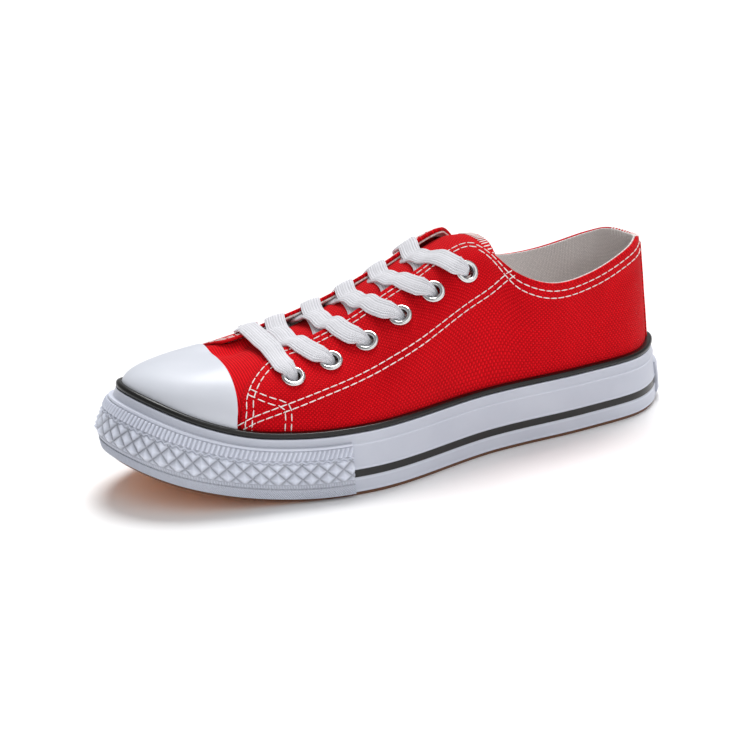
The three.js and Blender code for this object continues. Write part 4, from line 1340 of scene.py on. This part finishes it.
class SHOE_OT_bumper(bpy.types.Operator):
    """Moulds the patterned bumper round the toe"""

    bl_idname = "shoe.bumper"
    bl_label = "Toe bumper"

    def execute(self, context):
        rows = 76
        section = face_rows(BUMPER_FACE, rows, 0.9, 1.55, 23.75, WALL_BASE)
        section[rows:, 1] = lookup(section[rows:, 0], WALL_FACE) + 0.05
        bumper = outline_band("rubber_toe_bumper", place_at_x(BUMPER_END), 1080, section, bumper_relief)
        settle(bumper, "white", "white_rubber", "toe_bumper")
        return {"FINISHED"}


class SHOE_OT_heel_label(bpy.types.Operator):
    """Sets the bare label plate on the back of the heel"""

    bl_idname = "shoe.heel_label"
    bl_label = "Heel label"

    def execute(self, context):
        face = np.array([(LABEL_BASE, -1.05), (4.2, -1.35), (10, -1.1), (17.4, -0.35), (18.3, 0.0)])
        section = face_rows(face, 40, 0.6, 1.1, LABEL_TOP, LABEL_BASE)

        def frame_line(length, z):
            across, up = LABEL_HALF - np.abs(length), np.minimum(z - LABEL_BASE, LABEL_TOP - 0.1 - z)
            inward = np.minimum(across, up)
            return 0.3 * ridge(inward, 1.5, 0.45) - 0.35 * ramp(inward, 0.7, -0.7) ** 2

        ends = (outline_place(-LABEL_HALF), outline_place(LABEL_HALF))
        label = outline_band("rubber_heel_label", ends, 90, section, frame_line)
        settle(label, "white", "white_rubber", "heel_label")
        return {"FINISHED"}


def outline_widths(inset, z, stations):
    """The outline drawn in by an inset: its x stations and its outer and inner y values there."""
    steps = np.linspace(0, ROUND, 1361)
    loop = on_outline(steps, inset, z)
    loop = np.roll(loop[:-1], -np.argmin(loop[:, 0]), axis=0)
    toe = np.argmax(loop[:, 0])
    x = loop[0, 0] + (loop[toe, 0] - loop[0, 0]) * (0.5 - 0.5 * np.cos(np.linspace(0, math.pi, stations)))
    outer = np.interp(x, loop[: toe + 1, 0], loop[: toe + 1, 1])
    inner = np.interp(x, loop[toe:, 0][::-1], loop[toe:, 1][::-1])
    inner[0], inner[-1] = outer[0], outer[-1]
    return x, outer, inner


def room_inside(x, y, inset, z, stations, at_ends):
    """How far places in plan are inside the outline: off its sides, or by a share off its ends."""
    reach, outer, inner = outline_widths(inset, z, stations)
    sides = np.minimum(np.interp(x, reach, outer) - y, y - np.interp(x, reach, inner))
    return np.minimum(sides, np.minimum(x - reach[0], reach[-1] - x) * at_ends)


def lying_layer(name, layers, stations):
    """A closed layer of the sole from its underside to its top.

    layers: rows of inset, height and share across for one loop round the layer.
    """
    tables = {(inset, level): outline_widths(inset, level, stations) for inset, level, _ in layers}

    def shape(column, row):
        points = np.zeros((len(column), 3))
        for i, (inset, level, share) in enumerate(layers):
            mask = row == i
            x, outer, inner = (t[column[mask]] for t in tables[inset, level])
            points[mask] = np.column_stack([x, inner + (outer - inner) * share, level + spring(x)])
        return points, points[:, :2]

    return sheet(name, stations - 1, len(layers) - 1, shape, sharp=35)


class SHOE_OT_outsole(bpy.types.Operator):
    """Presses the gum tread, with its rows of diamonds, and lays the insole in the shoe"""

    bl_idname = "shoe.outsole"
    bl_label = "Outsole and insole"

    def execute(self, context):
        under = [(TREAD_INSET, 0.0, s) for s in np.linspace(0, 1, 150)]
        side = [(0.75, 0.35, 1.0), (0.7, 1.0, 1.0), (TREAD_INSET, 1.7, 1.0)]
        over = [(TREAD_INSET, 1.7, s) for s in (0.75, 0.5, 0.25, 0.0)]
        close = [(0.7, 1.0, 0.0), (0.75, 0.35, 0.0)]
        tread = lying_layer("gum_tread", under + side + over + close + under[:1], TREAD_STATIONS)
        carve_tread(tread.data)
        settle(tread, "gum", "gum", "outsole")
        bottom = [(7.9, 10.3, s) for s in np.linspace(0, 1, 8)]
        top = [(INSOLE_INSET, INSOLE_TOP, s) for s in np.linspace(1, 0, 50)]
        insole = lying_layer("cotton_insole", bottom + top + bottom[:1], INSOLE_STATIONS)
        dish_insole(insole.data)
        settle(insole, "insole", "lining", "insole")
        dress(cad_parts["midsole"], "core")
        return {"FINISHED"}


def carve_tread(mesh):
    """Lifts the ground between the tread's diamonds and leaves a plain rim round them."""
    points = shoe_points(mesh)
    x, y = points[:, 0], points[:, 1]
    room = room_inside(x, y, TREAD_INSET, 0.0, TREAD_STATIONS, 0.8)
    groove = ramp(to_grid_line(x / 9 + y / 5.5, x / 9 - y / 5.5), 0.16, -0.07)
    waist = ramp(np.abs(x + 30), 22, 4)
    lift = 0.9 * groove * ramp(room, 5, 1) * waist + 0.7 * ridge(room, 4.0, 0.5)
    below = points[:, 2] - spring(x) < 0.2
    points[:, 2] += np.where(below, lift, 0)
    move_points(mesh, points)


def dish_insole(mesh):
    """Raises the insole's rim and hollows its heel."""
    points = shoe_points(mesh)
    x, y = points[:, 0], points[:, 1]
    room = np.maximum(room_inside(x, y, INSOLE_INSET, INSOLE_TOP, INSOLE_STATIONS, 1), 0)
    cup = 1.6 * np.exp(-room / 5) - 0.9 * ramp(room, 0, 16) * ramp(x, -40, -40)
    edge = -1.3 * ramp(room, 1.2, -1.2) ** 2
    top = points[:, 2] - spring(x) > 12
    points[:, 2] += np.where(top, cup + edge, 0)
    move_points(mesh, points)


class SHOE_OT_eyelets(bpy.types.Operator):
    """Sets the twelve nickel eyelets in their holes"""

    bl_idname = "shoe.eyelets"
    bl_label = "Eyelets"

    def execute(self, context):
        # The flange's round, then down the barrel, out over its curl and up under the flange.
        form = bmesh.new()
        turn = np.linspace(math.radians(-35), math.radians(215), 11)
        profile = [(4.08 + 1.1 * math.cos(a), 0.25 + 1.0 * math.sin(a)) for a in turn]
        profile += [(2.98, -1.2), (3.05, -2.3), (3.3, -2.5), (3.35, -1.0), (3.6, -0.35)]
        verts = [form.verts.new((r, 0, z)) for r, z in profile]
        edges = [form.edges.new((verts[i - 1], verts[i])) for i in range(len(verts))]
        bmesh.ops.spin(
            form, geom=verts + edges, cent=(0, 0, 0), axis=(0, 0, 1), angle=2 * math.pi, steps=40,
            use_merge=True,
        )
        bmesh.ops.remove_doubles(form, verts=form.verts, dist=1e-4)
        bmesh.ops.recalc_face_normals(form, faces=form.faces)
        lift = context.scene.shoe_sizes.quarter_proud / MM + 0.25
        rings = repeated("nickel_eyelets", form, [facing_matrix(p, n, lift) for p, n in EYELET_FRAMES])
        names = [f"eyelet_{side}_{k + 1}" for side in ("outer", "inner") for k in range(len(EYELETS))]
        settle(rings, "nickel", "nickel", *names)
        return {"FINISHED"}


# ---- Laces ---------------------------------------------------------------------------------
def throat_edge(x, side):
    """The height of the throat's edge over an x value."""
    x_rows, y_rows = UPPER_RIBS[:, 1], UPPER_RIBS[:, 2] * side
    rows = UPPER_RIBS[(y_rows > 0) & (y_rows < 15) & (x_rows > -32) & (x_rows < 60)]
    rows = rows[np.argsort(rows[:, 1])]
    return np.interp(x, rows[:, 1], rows[:, 3])


def out_of_eyelet(point, normal, toward, width):
    """First stops of a strap: out of the hole, over the ring and down onto the canvas.

    A stop is a point, the way its face looks, its width, and how many times its thickness it is.
    """
    flat = unit(toward - normal * (toward @ normal))
    rows = (
        (-0.6, -3.2, 3.6, 1.6), (0.1, -0.6, 4.2, 1.9), (1.3, 1.75, 5.2, 1.75),
        (3.2, 3.0, 6.9, 1.2), (6.2, 2.85, width, 1),
    )
    return [(point + flat * along + normal * up, normal, wide, thick) for along, up, wide, thick in rows]


def on_canvas(plan, width):
    """A stop that lies on the canvas over a point in plan."""
    at, height = place_over(*plan)
    return on_cloth(at, height, LACE_ON_CANVAS)[0], upper_frame(at, height)[1][0], width, 1


def swaying(start, end, sway):
    """A strap's way in plan: the point at a share of its way across, with its sway."""
    return lambda share: start[:2] + (end[:2] - start[:2]) * share + (lookup(share, sway), 0)


def strap_stops(start, target, lift, width):
    """Stops of one strap: over its own facing, across the tongue and under the other facing."""
    (point, normal), (end, _) = start, target
    side = math.copysign(1, point[1])
    plan = swaying(point, end, LACE_SWAY)

    def over(share, drop, wide=width, far=0.0):
        x, y = plan(share)
        own, other = throat_edge(x, side), throat_edge(x, -side)
        level = own + (other - own) * far + drop
        facing = side if share < 0.5 else -side
        slope = (throat_edge(x - 5, facing) - throat_edge(x + 5, facing)) / 10
        return np.array([x, y, level]), unit(np.array([slope, 0, 1])), wide, 1

    return out_of_eyelet(point, normal, np.append(plan(0.2), point[2]) - point, width) + [
        on_canvas(plan(0.19), width),
        over(0.26, 1.35),
        over(0.37, 0.1 + lift / 2),
        over(0.5, lift - 0.4, far=0.5),
        over(0.62, lift / 2 - 1.3, far=1),
        over(0.7, -2.6, far=1),
        over(0.76, -3.6, width * 0.95, far=1),
        over(0.8, -4.7, width * 0.85, far=1),
    ]


def bar_stops(start, target, width):
    """Stops of the lowest strap, which lies on top from one eyelet to the other."""
    (point, normal), (end, end_normal) = start, target
    plan = swaying(point, end, BAR_SWAY)

    def rise(share, height):
        x, y = plan(share)
        return np.array([x, y, height]), unit(np.array([0.2, 0, 1.0])), width, 1

    return (
        out_of_eyelet(point, normal, np.append(plan(0.19), point[2]) - point, width)
        + [on_canvas(plan(0.19), width)]
        + [rise(*row) for row in ((0.28, 59.6), (0.4, 60.6), (0.5, 61.2), (0.6, 61.7), (0.72, 61.9))]
        + [on_canvas(plan(0.81), width)]
        + out_of_eyelet(end, end_normal, point - end, width)[::-1]
    )


def strap_mesh(name, stops, thickness):
    """A flat lace along its stops, with woven ribs and rounded edges."""
    line = smooth_line([stop[0] for stop in stops], 9)
    share, places = np.linspace(0, len(stops) - 1, len(line)), np.arange(len(stops))
    up = blended(share, places, [stop[1] for stop in stops])
    width, thick = blended(share, places, [stop[2:] for stop in stops]).T
    along = unit(np.gradient(line, axis=0))
    across = unit(np.cross(along, up))
    normal = np.cross(across, along)
    length = running_length(line)
    rows = 120
    turn = np.linspace(0, 2 * math.pi, rows + 1)
    side, over = squared(np.cos(turn), 0.55), squared(np.sin(turn), 0.45)
    full = np.ones(len(line))
    full[0] = full[-1] = 0

    def shape(column, row):
        a, b = side[row], over[row]
        rib = 1 + 0.2 * wave(LACE_RIBS * a) * (np.abs(a) < 0.96)
        half = width[column] / 2 * full[column]
        tall = thickness / 2 * thick[column] * full[column] * rib
        curl = -0.25 * a * a * (width[column] / 8.6)
        points = (
            line[column] + across[column] * (a * half)[:, None]
            + normal[column] * (b * tall + curl * full[column])[:, None]
        )
        return points, np.column_stack([length[column], a * LACE_HALF_PATTERN])

    return sheet(name, len(line) - 1, rows, shape, sharp=80)


def joined(name, pieces):
    """Joins several meshes into one piece."""
    bm = bmesh.new()
    for piece in pieces:
        bm.from_mesh(piece.data)
    mesh = bpy.data.meshes.new(name)
    bm.to_mesh(mesh)
    bm.free()
    for piece in pieces:
        old = piece.data
        bpy.data.objects.remove(piece)
        bpy.data.meshes.remove(old)
    return placed(name, mesh)


class SHOE_OT_laces(bpy.types.Operator):
    """Threads the flat lace: one bar across the foot of the throat and five crossings"""

    bl_idname = "shoe.laces"
    bl_label = "Laces"

    def execute(self, context):
        sizes = context.scene.shoe_sizes
        width, thickness = sizes.lace_width / MM, sizes.lace_thickness / MM
        count = len(EYELETS)
        outer, inner = EYELET_FRAMES[:count], EYELET_FRAMES[count:]
        bar = strap_mesh("lace_strap_1", bar_stops(outer[0], inner[0], width), thickness)
        settle(bar, "lace", "lace", "lace_bar")
        # Where two straps cross, the one from the outer side lies on top.
        lift = thickness / 2 + 0.02
        for k in range(1, count):
            straps = [
                strap_mesh("strap", strap_stops(outer[k], inner[k - 1], lift, width), thickness),
                strap_mesh("strap", strap_stops(inner[k], outer[k - 1], -lift, width), thickness),
            ]
            settle(joined(f"lace_strap_{k + 1}", straps), "lace", "lace", f"lace_crossing_{k + 1}")
        return {"FINISHED"}


class SHOE_OT_stitches(bpy.types.Operator):
    """Sews the double seams of the quarter, the backstay and the collar's whipped heel"""

    bl_idname = "shoe.stitches"
    bl_label = "Stitches"

    def execute(self, context):
        sizes = context.scene.shoe_sizes
        pitch = (sizes.stitch_length + sizes.stitch_gap) / MM
        thread = sizes.thread / MM
        proud = sizes.quarter_proud / MM
        matrices = []
        for at, height in seam_lines():
            matrices += stitch_places(at, height, proud - 0.05, pitch)
        heights = np.linspace(0.0, 0.9, 60)
        for side in (-1, 1):
            for place in (0.5, 0.36):
                matrices += stitch_places(np.full(60, side * place), heights, proud + 0.7, pitch)
        seam = thread_form(sizes.stitch_length / MM, thread, thread * 0.85)
        settle(repeated("thread_seams", seam, matrices), "thread", "lace")
        whipping = []
        for at in np.linspace(-0.9, 0.75, 15):
            place = np.array([at, at + 0.03])
            point, normal, up = upper_frame(place, np.ones(2))
            for offset, above in ((0.75, -1.0), (-2.0, -1.0), (-0.6, 0.75)):
                along = up[0] if above < 0 else normal[0]
                facing = normal[0] * math.copysign(1, offset) if above < 0 else up[0]
                centre = point[0] + normal[0] * offset + up[0] * above
                whipping.append(stitch_matrix(centre, along, facing))
        settle(repeated("heel_whipping", thread_form(3.0, 0.55, 0.4), whipping), "thread", "lace")
        return {"FINISHED"}


# ---- Stage ---------------------------------------------------------------------------------
CAMERA_TARGET = (0.0, 0.0, 41.7)
CAMERA_AZIMUTH = 156.7
CAMERA_ELEVATION = 18.4
CAMERA_ROLL = -2.7
CAMERA_DISTANCE = 757.0
CAMERA_LENS = 80.9
CAMERA_SHIFT = (-0.0251, -0.028)
WORLD_LIGHT = 0.31
# Soft suns: where each comes from, how wide it is in degrees, and its strength.
SKIES = {"top_sky": ((-0.26, -0.42, 1.0), 30, 2.7), "front_sky": ((-0.3, 1.0, 0.85), 70, 0.9)}


class SHOE_OT_stage(bpy.types.Operator):
    """Sets the pale floor, the soft studio light and the camera"""

    bl_idname = "shoe.stage"
    bl_label = "Stage"

    def execute(self, context):
        bm = bmesh.new()
        bmesh.ops.create_grid(bm, x_segments=1, y_segments=1, size=6)
        floor = finished("floor", bm, bpy.data.meshes.new("floor"))
        dress(floor, "floor")
        world = bpy.data.worlds.new("white_studio")
        context.scene.world = world
        world.use_nodes = True
        background = world.node_tree.nodes["Background"]
        background.inputs["Color"].default_value = (1, 1, 1, 1)
        background.inputs["Strength"].default_value = WORLD_LIGHT
        for name, (place, spread, strength) in SKIES.items():
            lamp = bpy.data.lights.new(name, "SUN")
            lamp.angle = math.radians(spread)
            lamp.energy = strength
            light = placed(name, lamp)
            light.location = place
            light.rotation_mode = "QUATERNION"
            light.rotation_quaternion = (-Vector(place)).to_track_quat("-Z", "Y")
        context.scene.view_settings.view_transform = "Standard"
        context.scene.camera = studio_camera()
        return {"FINISHED"}


def studio_camera():
    """The camera, a little above the shoe's outer side and turned towards its toe."""
    azimuth, elevation, roll = (math.radians(a) for a in (CAMERA_AZIMUTH, CAMERA_ELEVATION, CAMERA_ROLL))
    level = math.cos(elevation)
    back = Vector((math.sin(azimuth) * level, -math.cos(azimuth) * level, math.sin(elevation)))
    right = Vector((math.cos(azimuth), math.sin(azimuth), 0))
    up = back.cross(right)
    turned_right = right * math.cos(roll) + up * math.sin(roll)
    turned_up = up * math.cos(roll) - right * math.sin(roll)
    data = bpy.data.cameras.new("studio_camera")
    data.lens = CAMERA_LENS
    data.sensor_width = 36
    data.shift_x, data.shift_y = CAMERA_SHIFT
    data.clip_start, data.clip_end = 0.05, 50
    camera = placed("studio_camera", data)
    turn = Matrix((turned_right, turned_up, back)).transposed().to_4x4()
    target = (Vector(CAMERA_TARGET) + Vector(SHIFT)) * MM
    camera.matrix_world = Matrix.Translation(target + back * CAMERA_DISTANCE * MM) @ turn
    return camera


# ---- Add-on --------------------------------------------------------------------------------
OPERATORS = (
    SHOE_OT_canvas,
    SHOE_OT_lining,
    SHOE_OT_tongue,
    SHOE_OT_toe_cap,
    SHOE_OT_sole_wall,
    SHOE_OT_bumper,
    SHOE_OT_heel_label,
    SHOE_OT_outsole,
    SHOE_OT_eyelets,
    SHOE_OT_laces,
    SHOE_OT_stitches,
    SHOE_OT_stage,
)


class SHOE_PT_pieces(bpy.types.Panel):
    """Lists the shoe's pieces in the sidebar"""

    bl_label = "Canvas shoe"
    bl_idname = "SHOE_PT_pieces"
    bl_space_type = "VIEW_3D"
    bl_region_type = "UI"
    bl_category = "Shoe"

    def draw(self, context):
        for operator in OPERATORS:
            self.layout.operator(operator.bl_idname)
        for group in (context.scene.shoe_sizes, context.scene.shoe_colours):
            for name in group.bl_rna.properties.keys():
                if name not in {"rna_type", "name"}:
                    self.layout.prop(group, name)


CLASSES = (ShoeSizes, ShoeColours, *OPERATORS, SHOE_PT_pieces)


def register():
    for cls in CLASSES:
        bpy.utils.register_class(cls)
    bpy.types.Scene.shoe_sizes = PointerProperty(type=ShoeSizes)
    bpy.types.Scene.shoe_colours = PointerProperty(type=ShoeColours)


def unregister():
    del bpy.types.Scene.shoe_colours
    del bpy.types.Scene.shoe_sizes
    for cls in reversed(CLASSES):
        bpy.utils.unregister_class(cls)


def main():
    register()
    make_finishes(bpy.context.scene.shoe_colours)
    for operator in OPERATORS:
        _, name = operator.bl_idname.split(".")
        getattr(bpy.ops.shoe, name)()


if __name__ == "__main__":
    main()
